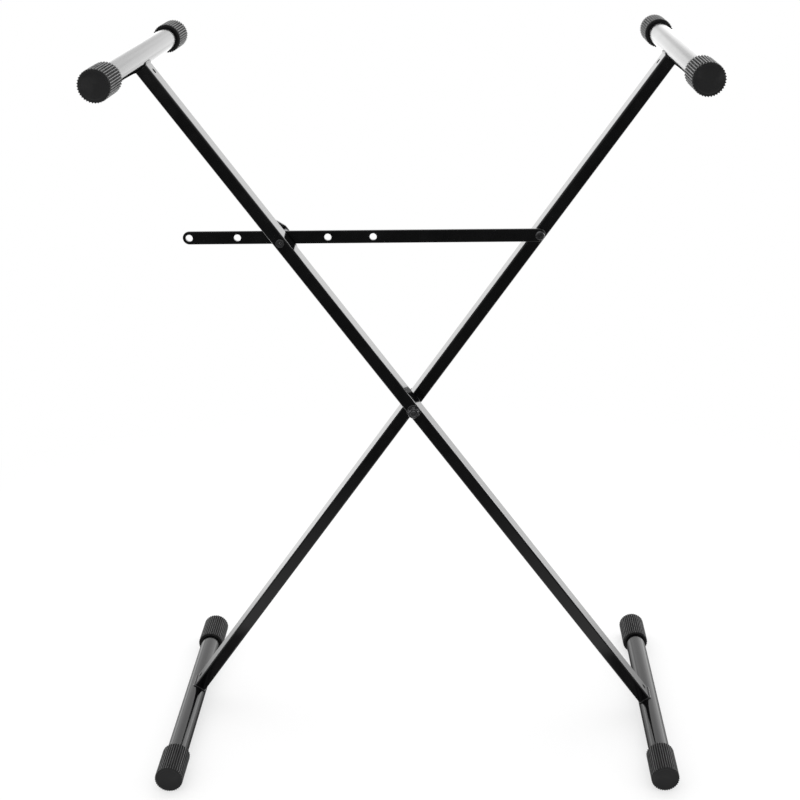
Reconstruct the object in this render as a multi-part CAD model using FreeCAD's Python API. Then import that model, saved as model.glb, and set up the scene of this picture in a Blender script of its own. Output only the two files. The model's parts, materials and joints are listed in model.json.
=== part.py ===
"""Folding single-brace keyboard stand.

Two rectangular steel legs cross at one bolt.  Each carries a round tube at its top, which the
keyboard lies on, and a round tube at its foot.  A flat strap with a row of holes is bolted to the
back leg and held by a sprung pin on the front leg, which sets the height.

Millimetres.  +X right, +Y from front to back, +Z up.  The origin lies on the floor, below the
centre pivot and midway between the legs.
"""
import FreeCAD, Part
import math
import os

from FreeCAD import Vector

# ---- legs -------------------------------------------------------------------------------------
LEG_WIDTH = 15.0            # across the leg, seen from the front
LEG_DEPTH = 25.0            # front to back
LEG_WALL = 1.5
LEG_CORNER = 2.0            # outside corner radius
LEG_ABOVE_PIVOT = 500.0     # centre pivot to upper tube axis
LEG_BELOW_PIVOT = 500.0     # centre pivot to base tube axis
LEG_GAP = 6.0               # clear space between the two legs
VENT_HOLE = 6.0             # holes near the leg ends and in the upper tubes
VENT_FROM_TUBE = 9.0        # tube surface to the middle of a leg's vent hole

# ---- tubes and their caps ---------------------------------------------------------------------
TUBE_DIAMETER = 25.0
TUBE_WALL = 1.5
UPPER_SPAN = 410.0          # upper tube with its caps
BASE_SPAN = 355.0           # base tube with its caps
CAP_DIAMETER = 33.0         # over the ribs
CAP_LENGTH = 50.0
CAP_END_WALL = 4.0
CAP_RIB_COUNT = 36
CAP_RIB_HEIGHT = 1.0
CAP_RIB_SHARE = 0.55        # share of one rib pitch that the rib's foot takes
CAP_RIB_TIP_SHARE = 0.6     # rib tip width over rib foot width
CAP_SHOULDER = 0.6          # length of the slope that breaks the ribs' ends
CAP_FACE_DIAMETER = 31.8    # end face, out to where that slope starts
CAP_DISH_DIAMETER = 26.0    # shallow dish in the end face
CAP_DISH_DEPTH = 0.6
CAP_BORE_CLEARANCE = 0.05

# ---- welds ------------------------------------------------------------------------------------
WELD_LEG = 1.6

# ---- centre pivot -----------------------------------------------------------------------------
PIVOT_BOLT = 8.0
PIVOT_BOLT_CLEARANCE = 0.05
PIVOT_HEAD_DIAMETER = 14.0
PIVOT_HEAD_HEIGHT = 4.4
PIVOT_HEAD_ROUND = 2.4
PIVOT_SOCKET_FLATS = 5.0
PIVOT_SOCKET_DEPTH = 2.6
PIVOT_WASHER_DIAMETER = 16.0
PIVOT_WASHER_THICKNESS = 1.5
PIVOT_NUT_FLATS = 13.0
PIVOT_NUT_HEIGHT = 5.5      # hexagonal part of the lock nut
PIVOT_COLLAR_DIAMETER = 11.0
PIVOT_COLLAR_HEIGHT = 2.0   # round collar that holds the locking ring
PIVOT_BOLT_PAST_NUT = 0.8
PIVOT_SPACER_DIAMETER = 14.0
FACE_CLEARANCE = 0.1        # between faces that slide on each other

# ---- locking strap ----------------------------------------------------------------------------
STRAP_WIDTH = 15.0
STRAP_THICKNESS = 3.0
STRAP_PIVOT_UP = 250.0      # centre pivot to strap bolt and to latch pin, along the legs
STRAP_HOLE = 8.0
STRAP_HOLE_PITCH = 51.5
STRAP_LAST_PITCH = 55.0     # between the two holes that set the lowest heights
STRAP_FIRST_HOLE = 189.0    # strap bolt to the nearest hole, which sets the greatest height
STRAP_PITCHES_TO_REST = 2   # pitches from the nearest hole to the hole in use
STRAP_END_MARGIN = 7.5      # last hole to the strap's rounded tip
STRAP_BOLT_MARGIN = 6.0     # strap bolt to the strap's other end
STRAP_EDGE_ROUND = 0.8      # rolled edge along the strap's outline
STORED_OPENING_DEG = 10.0   # angle between the legs when folded away

# ---- strap bolt -------------------------------------------------------------------------------
STRAP_BOLT = 6.0
STRAP_BOLT_CLEARANCE = 0.05
STRAP_HEAD_DIAMETER = 10.5
STRAP_HEAD_HEIGHT = 3.3
STRAP_HEAD_ROUND = 1.8
STRAP_SOCKET_FLATS = 4.0
STRAP_SOCKET_DEPTH = 2.1
STRAP_NUT_FLATS = 10.0
STRAP_NUT_HEIGHT = 4.2
STRAP_COLLAR_DIAMETER = 8.6
STRAP_COLLAR_HEIGHT = 1.8
STRAP_BOLT_PAST_NUT = 0.8
STRAP_WASHER_DIAMETER = 13.5
STRAP_WASHER_THICKNESS = 1.0

# ---- latch ------------------------------------------------------------------------------------
BUSH_FLANGE_DIAMETER = 9.5
BUSH_FLANGE_THICKNESS = 1.0
BUSH_OUTER = 8.5
BUSH_CLEARANCE = 0.05
BUSH_RIM_ROUND = 0.6
BUSH_EYE_DIAMETER = 2.5     # small hole in the middle of the bush's closed front
BRACKET_WIDTH = 10.0
BRACKET_SHEET = 1.5
BRACKET_HALF_MOUTH = 24.0   # pin axis to where the bracket leaves the leg
BRACKET_HALF_KNEE = 16.0
BRACKET_KNEE_HEIGHT = 15.0
BRACKET_HALF_TOP = 5.5
BRACKET_HEIGHT = 28.5
BRACKET_FOOT = 13.0
BRACKET_BEND = 2.0          # outside radius of the bends
RIVET_DIAMETER = 4.0
RIVET_HEAD_DIAMETER = 7.5
RIVET_HEAD_HEIGHT = 1.8
RIVET_HEAD_ROUND = 1.4
RIVET_FROM_MOUTH = 7.5      # bracket mouth to rivet, along the bracket's foot
RIVET_TAIL = 3.0            # rivet length inside the leg
PIN_NOSE = 7.0
PIN_SHANK = 5.0
PIN_SHANK_CLEARANCE = 0.08
PIN_NOSE_CHAMFER = 1.0
PIN_NOSE_GAP = 0.5          # nose to the strap's back face: the loop's open joint
PIN_NOSE_LENGTH = 6.0
PIN_TAIL = 5.5              # pin past the bracket
PIN_STROKE = 8.0
SEAT_DIAMETER = 11.0
SEAT_THICKNESS = 1.0
SEAT_CLEARANCE = 0.05
RING_DIAMETER = 22.0        # over the wire
RING_WIRE = 2.0
RING_HOLE_CLEARANCE = 0.45  # lets the curved wire turn in its straight hole
RING_FROM_BRACKET = 0.4     # ring wire to the bracket's back
RING_SWING_DEG = 85.0
SPRING_DIAMETER = 8.6       # over the wire
SPRING_WIRE = 0.9
SPRING_TURNS = 5

# ---- derived ----------------------------------------------------------------------------------
REST_HOLE = STRAP_FIRST_HOLE + STRAP_PITCHES_TO_REST * STRAP_HOLE_PITCH
WIDEST_HOLE = REST_HOLE + STRAP_HOLE_PITCH + STRAP_LAST_PITCH
LEAN = math.degrees(math.asin(REST_HOLE / (2.0 * STRAP_PIVOT_UP)))
WIDEST_LEAN = math.degrees(math.asin(WIDEST_HOLE / (2.0 * STRAP_PIVOT_UP)))

TUBE_R = TUBE_DIAMETER / 2.0
CAP_R = CAP_DIAMETER / 2.0
CAP_ROOT_R = CAP_R - CAP_RIB_HEIGHT
PIVOT_Z = CAP_R + LEG_BELOW_PIVOT * math.cos(math.radians(LEAN))

FRONT_LEG_Y = -(LEG_GAP + LEG_DEPTH) / 2.0
BACK_LEG_Y = (LEG_GAP + LEG_DEPTH) / 2.0
FRONT_FACE = -(LEG_GAP / 2.0 + LEG_DEPTH)       # front of the front leg
FRONT_LEG_BACK = -LEG_GAP / 2.0
BACK_LEG_FRONT = LEG_GAP / 2.0
BACK_FACE = LEG_GAP / 2.0 + LEG_DEPTH           # back of the back leg
STRAP_FRONT = -STRAP_THICKNESS / 2.0
STRAP_BACK = STRAP_THICKNESS / 2.0

BRACKET_BACK = FRONT_LEG_BACK + BRACKET_HEIGHT
BRACKET_INSIDE = BRACKET_BACK - BRACKET_SHEET
PIN_NOSE_Y = STRAP_BACK + PIN_NOSE_GAP
PIN_SHOULDER_Y = PIN_NOSE_Y + PIN_NOSE_LENGTH
PIN_TAIL_Y = BRACKET_BACK + PIN_TAIL
RING_Y = BRACKET_BACK + RING_FROM_BRACKET + RING_WIRE / 2.0
SEAT_BACK = PIN_SHOULDER_Y + SEAT_THICKNESS

Y_AXIS = Vector(0, 1, 0)
Z_AXIS = Vector(0, 0, 1)
ORIGIN = Vector(0, 0, 0)
OVERRUN = 5.0               # how far a cutting tool runs past what it cuts
CORNER_BREAK = 0.1          # what the corner cone of a nut leaves outside its flats
TOUCH = 1e-4                # how near a place counts as the same place


# ---- small helpers ----------------------------------------------------------------------------
def rod(radius, y_start, y_end, x=0.0, z=0.0):
    """A cylinder along Y."""
    return Part.makeCylinder(radius, y_end - y_start, Vector(x, y_start, z), Y_AXIS)


def ring(outer, inner, y_start, y_end, x=0.0, z=0.0):
    """A washer along Y."""
    return rod(outer, y_start, y_end, x, z).cut(rod(inner, y_start - OVERRUN, y_end + OVERRUN, x, z))


def prism(points, y_start, y_end):
    """A polygon of (x, z) points, drawn out along Y."""
    corners = [Vector(x, y_start, z) for x, z in points]
    face = Part.Face(Part.makePolygon(corners + corners[:1]))
    return face.extrude(Vector(0, y_end - y_start, 0))


def hexagon(flats, y_start, y_end, z=0.0):
    """A hexagonal prism along Y."""
    corner = flats / math.sqrt(3.0)
    turns = [math.radians(60.0 * k) for k in range(6)]
    return prism([(corner * math.cos(t), z + corner * math.sin(t)) for t in turns], y_start, y_end)


def lock_nut(flats, height, collar_diameter, collar_height, bore, y_seat, towards, z=0.0):
    """A hexagonal nut with a round collar, on the side of y_seat that towards, +1 or -1, tells."""
    y_collar = y_seat + towards * height
    y_end = y_collar + towards * collar_height
    outer = flats / 2.0 + height * math.sqrt(3.0)
    cone = Part.makeCone(outer, flats / 2.0 + CORNER_BREAK, height, Vector(0, y_seat, z), Y_AXIS * towards)
    solid = hexagon(flats, min(y_seat, y_collar), max(y_seat, y_collar), z).common(cone)
    solid = solid.fuse(rod(collar_diameter / 2.0, min(y_collar, y_end), max(y_collar, y_end), 0.0, z))
    return solid.cut(rod(bore, min(y_seat, y_end) - OVERRUN, max(y_seat, y_end) + OVERRUN, 0.0, z))


def round_edges(shape, radius, picks):
    """Round the edges of a shape for which picks(edge) is true."""
    edges = [edge for edge in shape.Edges if picks(edge)]
    return shape.makeFillet(radius, edges)


def at_y(y):
    """Tells edges that lie wholly in the plane of one y."""
    def picks(edge):
        box = edge.BoundBox
        return abs(box.YMin - y) < TOUCH and abs(box.YMax - y) < TOUCH
    return picks


def either(first, second):
    """Tells edges that one or the other of two tests tells."""
    return lambda edge: first(edge) or second(edge)


def runs_upright(edge):
    """Tells edges that run along Z."""
    box = edge.BoundBox
    return box.ZLength > TOUCH and box.XLength < TOUCH and box.YLength < TOUCH


def leaned(shape, lean):
    """Turn a shape about the pivot axis and lift it to the pivot's height."""
    moved = shape.copy()
    moved.rotate(ORIGIN, Y_AXIS, lean)
    moved.translate(Vector(0, 0, PIVOT_Z))
    return moved


# ---- leg --------------------------------------------------------------------------------------
def rounded_bar(width, depth, corner, y_mid, z_low, z_high):
    """A bar along Z with rounded corners."""
    low = Vector(-width / 2.0, y_mid - depth / 2.0, z_low)
    bar = Part.makeBox(width, depth, z_high - z_low, low)
    return round_edges(bar, corner, runs_upright)


def tube_bar(radius, z):
    """A long cylinder on a cross tube's axis, used to cut the ends of legs and welds."""
    reach = UPPER_SPAN + BASE_SPAN
    return rod(radius, -reach, reach, 0.0, z)


def vent_hole(y, z, side):
    """A cutter through one narrow side of a leg."""
    start = Vector(side * LEG_WIDTH / 4.0, y, z)
    return Part.makeCylinder(VENT_HOLE / 2.0, LEG_WIDTH, start, Vector(side, 0, 0))


def leg(y_mid, pivot_hole, upper_hole, up_side):
    """One leg, standing upright with the pivot at the origin.

    up_side is the side, +1 or -1, that faces up when the leg leans.
    """
    solid = rounded_bar(LEG_WIDTH, LEG_DEPTH, LEG_CORNER, y_mid, -LEG_BELOW_PIVOT, LEG_ABOVE_PIVOT)
    solid = solid.cut(rounded_bar(LEG_WIDTH - 2 * LEG_WALL, LEG_DEPTH - 2 * LEG_WALL,
                                  LEG_CORNER - LEG_WALL, y_mid,
                                  -LEG_BELOW_PIVOT - OVERRUN, LEG_ABOVE_PIVOT + OVERRUN))
    solid = solid.cut(tube_bar(TUBE_R, LEG_ABOVE_PIVOT))
    solid = solid.cut(tube_bar(TUBE_R, -LEG_BELOW_PIVOT))
    y_front = y_mid - LEG_DEPTH
    y_back = y_mid + LEG_DEPTH
    solid = solid.cut(rod(pivot_hole, y_front, y_back))
    solid = solid.cut(rod(upper_hole, y_front, y_back, 0.0, STRAP_PIVOT_UP))
    inset = TUBE_R + VENT_FROM_TUBE
    for z in (LEG_ABOVE_PIVOT - inset, inset - LEG_BELOW_PIVOT):
        solid = solid.cut(vent_hole(y_mid, z, up_side))
    return solid


def weld(y_mid, z, towards):
    """The bead round one end of a leg, where it stands on a cross tube."""
    z_far = z + towards * (TUBE_R + WELD_LEG)
    z_low, z_high = min(z, z_far), max(z, z_far)
    outer = rounded_bar(LEG_WIDTH + 2 * WELD_LEG, LEG_DEPTH + 2 * WELD_LEG,
                        LEG_CORNER + WELD_LEG, y_mid, z_low, z_high)
    inner = rounded_bar(LEG_WIDTH, LEG_DEPTH, LEG_CORNER, y_mid, z_low - OVERRUN, z_high + OVERRUN)
    bead = outer.cut(inner).common(tube_bar(TUBE_R + WELD_LEG, z))
    return bead.cut(tube_bar(TUBE_R, z))


def leg_welds(y_mid):
    """Both beads of one leg."""
    return [weld(y_mid, LEG_ABOVE_PIVOT, -1), weld(y_mid, -LEG_BELOW_PIVOT, 1)]


# ---- cross tubes and caps ---------------------------------------------------------------------
def cross_tube(span, z):
    """A round tube along Y, short of its caps' closed ends."""
    half = span / 2.0 - CAP_END_WALL
    return ring(TUBE_R, TUBE_R - TUBE_WALL, -half, half, 0.0, z)


def upper_tube(y_leg):
    """The upper tube, with a vent hole opposite the leg."""
    tube = cross_tube(UPPER_SPAN, LEG_ABOVE_PIVOT)
    start = Vector(0, y_leg, LEG_ABOVE_PIVOT + TUBE_R / 2.0)
    return tube.cut(Part.makeCylinder(VENT_HOLE / 2.0, TUBE_R, start, Z_AXIS))


def ribbed_outline(y):
    """The ribbed outline of a cap, as one wire of lines and arcs."""
    pitch = 2.0 * math.pi / CAP_RIB_COUNT
    foot = pitch * CAP_RIB_SHARE / 2.0
    tip = foot * CAP_RIB_TIP_SHARE

    def spot(radius, turn):
        return Vector(radius * math.sin(turn), y, radius * math.cos(turn))

    edges = []
    for k in range(CAP_RIB_COUNT):
        mid = k * pitch
        after = mid + pitch
        edges.append(Part.makeLine(spot(CAP_ROOT_R, mid - foot), spot(CAP_R, mid - tip)))
        edges.append(Part.Arc(spot(CAP_R, mid - tip), spot(CAP_R, mid), spot(CAP_R, mid + tip)).toShape())
        edges.append(Part.makeLine(spot(CAP_R, mid + tip), spot(CAP_ROOT_R, mid + foot)))
        edges.append(Part.Arc(spot(CAP_ROOT_R, mid + foot), spot(CAP_ROOT_R, mid + pitch / 2.0),
                              spot(CAP_ROOT_R, after - foot)).toShape())
    return Part.Wire(edges)


def cap():
    """One cap with its open end at y = 0 and its closed end towards -Y."""
    ribbed = Part.Face(ribbed_outline(-CAP_LENGTH)).extrude(Vector(0, CAP_LENGTH, 0))
    slope = Part.makeCone(CAP_FACE_DIAMETER / 2.0, CAP_R + CAP_RIB_HEIGHT, CAP_SHOULDER,
                          Vector(0, -CAP_LENGTH, 0), Y_AXIS)
    envelope = slope.fuse(rod(CAP_R + CAP_RIB_HEIGHT, CAP_SHOULDER - CAP_LENGTH, 0.0))
    solid = ribbed.common(envelope)
    solid = solid.cut(rod(TUBE_R + CAP_BORE_CLEARANCE, CAP_END_WALL - CAP_LENGTH, OVERRUN))
    dish = rod(CAP_DISH_DIAMETER / 2.0, -CAP_LENGTH - OVERRUN, CAP_DISH_DEPTH - CAP_LENGTH)
    return solid.cut(dish)


def placed_cap(master, span, z, front, lean):
    """A copy of the cap on one end of a cross tube, turned so that a rib points straight down."""
    copy = master.copy()
    copy.rotate(ORIGIN, Y_AXIS, -lean)
    if not front:
        copy.rotate(ORIGIN, Z_AXIS, 180.0)
    mouth = span / 2.0 - CAP_LENGTH
    copy.translate(Vector(0, -mouth if front else mouth, z))
    return copy


# ---- centre pivot -----------------------------------------------------------------------------
def bolt(radius, head_diameter, head_height, head_round, y_seat, y_end, z=0.0):
    """A round-headed bolt from y_seat to y_end, with its head beyond y_seat."""
    outwards = 1 if y_seat > y_end else -1
    y_top = y_seat + outwards * head_height
    head = rod(head_diameter / 2.0, min(y_seat, y_top), max(y_seat, y_top), 0.0, z)
    head = round_edges(head, head_round, at_y(y_top))
    shank = rod(radius, min(y_seat, y_end), max(y_seat, y_end), 0.0, z)
    return head.fuse(shank).removeSplitter()


def pivot_parts():
    """The bolt with its head at the back, the lock nut, two washers and the spacer."""
    washer_front = FRONT_FACE - PIVOT_WASHER_THICKNESS
    washer_back = BACK_FACE + FACE_CLEARANCE
    head_seat = washer_back + PIVOT_WASHER_THICKNESS
    head_top = head_seat + PIVOT_HEAD_HEIGHT
    bolt_end = washer_front - PIVOT_NUT_HEIGHT - PIVOT_COLLAR_HEIGHT - PIVOT_BOLT_PAST_NUT
    radius = PIVOT_BOLT / 2.0
    bore = radius + PIVOT_BOLT_CLEARANCE
    washers = [ring(PIVOT_WASHER_DIAMETER / 2.0, bore, start, start + PIVOT_WASHER_THICKNESS)
               for start in (washer_front, washer_back)]
    spacer = ring(PIVOT_SPACER_DIAMETER / 2.0, bore, FRONT_LEG_BACK, BACK_LEG_FRONT - FACE_CLEARANCE)
    nut = lock_nut(PIVOT_NUT_FLATS, PIVOT_NUT_HEIGHT, PIVOT_COLLAR_DIAMETER, PIVOT_COLLAR_HEIGHT,
                   radius, washer_front, -1)
    screw = bolt(radius, PIVOT_HEAD_DIAMETER, PIVOT_HEAD_HEIGHT, PIVOT_HEAD_ROUND, head_seat, bolt_end)
    socket = hexagon(PIVOT_SOCKET_FLATS, head_top - PIVOT_SOCKET_DEPTH, head_top + OVERRUN)
    return {"pivot_bolt": [screw.cut(socket)], "pivot_nut": [nut], "pivot_washers": washers,
            "pivot_spacer": [spacer]}


# ---- strap and its bolt -----------------------------------------------------------------------
def strap_hole_places():
    """Distances from the strap bolt to the holes, nearest first."""
    places = [STRAP_FIRST_HOLE + k * STRAP_HOLE_PITCH for k in range(STRAP_PITCHES_TO_REST + 2)]
    return places + [WIDEST_HOLE]


def strap():
    """The strap, lying along -X from its bolt at the origin."""
    tip = WIDEST_HOLE + STRAP_END_MARGIN
    half = STRAP_WIDTH / 2.0
    depth = Vector(0, STRAP_THICKNESS, 0)
    corners = [Vector(STRAP_BOLT_MARGIN, STRAP_FRONT, 0), Vector(0, STRAP_FRONT, half),
               Vector(half - tip, STRAP_FRONT, half), Vector(-tip, STRAP_FRONT, 0),
               Vector(half - tip, STRAP_FRONT, -half), Vector(0, STRAP_FRONT, -half)]
    edges = [Part.Arc(corners[5], corners[0], corners[1]).toShape(),
             Part.makeLine(corners[1], corners[2]),
             Part.Arc(corners[2], corners[3], corners[4]).toShape(),
             Part.makeLine(corners[4], corners[5])]
    solid = Part.Face(Part.Wire(edges)).extrude(depth)
    solid = round_edges(solid, STRAP_EDGE_ROUND, either(at_y(STRAP_FRONT), at_y(STRAP_BACK)))
    solid = solid.cut(rod(STRAP_BOLT / 2.0 + STRAP_BOLT_CLEARANCE, -LEG_GAP, LEG_GAP))
    for place in strap_hole_places():
        solid = solid.cut(rod(STRAP_HOLE / 2.0, -LEG_GAP, LEG_GAP, -place))
    return solid


def strap_bolt_parts():
    """Bolt, nut and washers that hang the strap on the back leg."""
    radius = STRAP_BOLT / 2.0
    bore = radius + STRAP_BOLT_CLEARANCE
    head_seat = STRAP_FRONT - FACE_CLEARANCE
    spacer_front = STRAP_BACK + FACE_CLEARANCE
    back_end = BACK_FACE + STRAP_WASHER_THICKNESS
    bolt_end = back_end + STRAP_NUT_HEIGHT + STRAP_COLLAR_HEIGHT + STRAP_BOLT_PAST_NUT
    head_top = head_seat - STRAP_HEAD_HEIGHT
    washers = [ring(STRAP_WASHER_DIAMETER / 2.0, bore, spacer_front, BACK_LEG_FRONT, 0.0, STRAP_PIVOT_UP),
               ring(STRAP_WASHER_DIAMETER / 2.0, bore, BACK_FACE, back_end, 0.0, STRAP_PIVOT_UP)]
    nut = lock_nut(STRAP_NUT_FLATS, STRAP_NUT_HEIGHT, STRAP_COLLAR_DIAMETER, STRAP_COLLAR_HEIGHT,
                   radius, back_end, 1, STRAP_PIVOT_UP)
    screw = bolt(radius, STRAP_HEAD_DIAMETER, STRAP_HEAD_HEIGHT, STRAP_HEAD_ROUND,
                 head_seat, bolt_end, STRAP_PIVOT_UP)
    socket = hexagon(STRAP_SOCKET_FLATS, head_top - OVERRUN, head_top + STRAP_SOCKET_DEPTH, STRAP_PIVOT_UP)
    return {"strap_bolt": [screw.cut(socket)], "strap_nut": [nut], "strap_washers": washers}


# ---- latch ------------------------------------------------------------------------------------
def bracket_profile():
    """The bent sheet's outline as (y, z) points: out along its outside, back along its inside."""
    outside = [(0.0, -BRACKET_HALF_MOUTH - BRACKET_FOOT), (BRACKET_SHEET, -BRACKET_HALF_MOUTH - BRACKET_FOOT),
               (BRACKET_SHEET, -BRACKET_HALF_MOUTH), (BRACKET_KNEE_HEIGHT, -BRACKET_HALF_KNEE),
               (BRACKET_HEIGHT, -BRACKET_HALF_TOP)]
    steep = math.hypot(BRACKET_KNEE_HEIGHT - BRACKET_SHEET, BRACKET_HALF_MOUTH - BRACKET_HALF_KNEE)
    slant = math.hypot(BRACKET_HEIGHT - BRACKET_KNEE_HEIGHT, BRACKET_HALF_KNEE - BRACKET_HALF_TOP)
    steep_run = BRACKET_SHEET * steep / (BRACKET_KNEE_HEIGHT - BRACKET_SHEET)
    slant_run = BRACKET_SHEET * slant / (BRACKET_HEIGHT - BRACKET_KNEE_HEIGHT)
    lean_back = (BRACKET_HALF_MOUTH - BRACKET_HALF_KNEE) / (BRACKET_KNEE_HEIGHT - BRACKET_SHEET)
    inside = [(BRACKET_HEIGHT - BRACKET_SHEET, -BRACKET_HALF_TOP + slant_run - BRACKET_SHEET),
              (BRACKET_KNEE_HEIGHT - BRACKET_SHEET / 2.0, -BRACKET_HALF_KNEE + (steep_run + slant_run) / 2.0),
              (0.0, -BRACKET_HALF_MOUTH + steep_run - BRACKET_SHEET * lean_back)]
    far = [(y, -z) for y, z in reversed(outside)]
    far_inside = [(y, -z) for y, z in reversed(inside)]
    return outside + far + far_inside + inside


def bracket():
    """The bridge behind the front leg that guides the pin and lets the strap pass."""
    half = BRACKET_WIDTH / 2.0
    corners = [Vector(-half, FRONT_LEG_BACK + y, STRAP_PIVOT_UP + z) for y, z in bracket_profile()]
    sheet = Part.Face(Part.makePolygon(corners + corners[:1])).extrude(Vector(BRACKET_WIDTH, 0, 0))

    def outer_bend(edge):
        box = edge.BoundBox
        middle = abs(box.ZMin - STRAP_PIVOT_UP)
        across = box.XLength > BRACKET_WIDTH / 2.0
        return across and abs(box.YMin - BRACKET_BACK) < TOUCH and middle < BRACKET_HALF_KNEE
    sheet = round_edges(sheet, BRACKET_BEND, outer_bend)
    guide = PIN_SHANK / 2.0 + PIN_SHANK_CLEARANCE
    sheet = sheet.cut(rod(guide, STRAP_BACK, BRACKET_BACK + OVERRUN, 0.0, STRAP_PIVOT_UP))
    for z in rivet_places():
        sheet = sheet.cut(rod(RIVET_DIAMETER / 2.0, FRONT_LEG_BACK - OVERRUN, 0.0, 0.0, z))
    return sheet


def rivet_places():
    """Heights of the two rivets, in the bracket's feet."""
    reach = BRACKET_HALF_MOUTH + RIVET_FROM_MOUTH
    return [STRAP_PIVOT_UP - reach, STRAP_PIVOT_UP + reach]


def rivet(z):
    """One rivet through a bracket foot and the leg's back wall."""
    seat = FRONT_LEG_BACK + BRACKET_SHEET
    head = rod(RIVET_HEAD_DIAMETER / 2.0, seat, seat + RIVET_HEAD_HEIGHT, 0.0, z)
    head = round_edges(head, RIVET_HEAD_ROUND, at_y(seat + RIVET_HEAD_HEIGHT))
    return head.fuse(rod(RIVET_DIAMETER / 2.0, FRONT_LEG_BACK - RIVET_TAIL, seat, 0.0, z)).removeSplitter()


def pin_bush():
    """The sleeve through the front leg that takes the pin's nose, with its rim on the front face."""
    outer = BUSH_OUTER / 2.0
    bore = PIN_NOSE / 2.0 + BUSH_CLEARANCE
    rim = rod(BUSH_FLANGE_DIAMETER / 2.0, FRONT_FACE - BUSH_FLANGE_THICKNESS, FRONT_FACE, 0.0, STRAP_PIVOT_UP)
    rim = round_edges(rim, BUSH_RIM_ROUND, at_y(FRONT_FACE - BUSH_FLANGE_THICKNESS))
    sleeve = rod(outer, FRONT_FACE, FRONT_LEG_BACK, 0.0, STRAP_PIVOT_UP)
    solid = rim.fuse(sleeve).removeSplitter()
    floor = FRONT_FACE + LEG_WALL
    solid = solid.cut(rod(bore, floor, FRONT_LEG_BACK + OVERRUN, 0.0, STRAP_PIVOT_UP))
    eye = rod(BUSH_EYE_DIAMETER / 2.0, FRONT_FACE - OVERRUN, floor + OVERRUN, 0.0, STRAP_PIVOT_UP)
    return solid.cut(eye)


def plunger_pin():
    """The pin: a thick nose, and a thinner shank that runs through the spring and the bracket."""
    nose = rod(PIN_NOSE / 2.0, PIN_NOSE_Y, PIN_SHOULDER_Y, 0.0, STRAP_PIVOT_UP)
    nose = nose.makeChamfer(PIN_NOSE_CHAMFER, [edge for edge in nose.Edges if at_y(PIN_NOSE_Y)(edge)])
    shank = rod(PIN_SHANK / 2.0, PIN_SHOULDER_Y, PIN_TAIL_Y, 0.0, STRAP_PIVOT_UP)
    return nose.fuse(shank).removeSplitter()


def seat_washer():
    """The washer on the pin's shoulder that the spring presses on."""
    bore = PIN_SHANK / 2.0 + SEAT_CLEARANCE
    return ring(SEAT_DIAMETER / 2.0, bore, PIN_SHOULDER_Y, SEAT_BACK, 0.0, STRAP_PIVOT_UP)


def latch_spring():
    """The compression spring between the seat washer and the bracket, as one helix."""
    mean = (SPRING_DIAMETER - SPRING_WIRE) / 2.0
    inset = SPRING_WIRE / 2.0 + FACE_CLEARANCE
    length = BRACKET_INSIDE - SEAT_BACK - 2.0 * inset
    quarters = 4 * SPRING_TURNS

    def spot(step):
        turn = step * math.pi / 2.0
        y = SEAT_BACK + inset + length * step / quarters
        return Vector(mean * math.cos(turn), y, STRAP_PIVOT_UP + mean * math.sin(turn))

    arcs = [Part.Arc(spot(k), spot(k + 0.5), spot(k + 1)).toShape() for k in range(quarters)]
    path = Part.Wire(arcs)
    start = arcs[0]
    tangent = start.tangentAt(start.FirstParameter)
    section = Part.Wire([Part.makeCircle(SPRING_WIRE / 2.0, spot(0), tangent)])
    shell = Part.BRepOffsetAPI.MakePipeShell(path)
    shell.add(section)
    shell.build()
    shell.makeSolid()
    return shell.shape()


def ring_pivot(lean):
    """Where the pull ring's wire crosses the pin."""
    turn = math.radians(lean)
    return Vector(STRAP_PIVOT_UP * math.sin(turn), RING_Y, PIVOT_Z + STRAP_PIVOT_UP * math.cos(turn))


def pull_ring(lean):
    """The wire ring, hanging straight down from the pin's tail."""
    mean = (RING_DIAMETER - RING_WIRE) / 2.0
    centre = ring_pivot(lean) - Vector(0, 0, mean)
    return Part.makeTorus(mean, RING_WIRE / 2.0, centre, Y_AXIS)


def ring_hole(lean):
    """The cutter for the hole that the ring's wire runs through."""
    radius = RING_WIRE / 2.0 + RING_HOLE_CLEARANCE
    start = ring_pivot(lean) - Vector(PIN_SHANK, 0, 0)
    return Part.makeCylinder(radius, 2.0 * PIN_SHANK, start, Vector(1, 0, 0))


# ---- assembly ---------------------------------------------------------------------------------
def frame_parts(name, y_leg, hole_radius, lean, upper_side, base_side, cap_master):
    """A leg with its welds, tubes and caps, upright; keys are node names."""
    up_side = 1 if lean < 0 else -1
    parts = {
        name + "_leg": [leg(y_leg, PIVOT_BOLT / 2.0 + PIVOT_BOLT_CLEARANCE, hole_radius, up_side)],
        name + "_leg_welds": leg_welds(y_leg),
        "upper_tube_" + upper_side: [upper_tube(y_leg)],
        "base_tube_" + base_side: [cross_tube(BASE_SPAN, -LEG_BELOW_PIVOT)],
    }
    for end, front in (("front", True), ("rear", False)):
        parts["upper_cap_%s_%s" % (upper_side, end)] = [
            placed_cap(cap_master, UPPER_SPAN, LEG_ABOVE_PIVOT, front, lean)]
        parts["base_cap_%s_%s" % (base_side, end)] = [
            placed_cap(cap_master, BASE_SPAN, -LEG_BELOW_PIVOT, front, lean)]
    return parts


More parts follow.
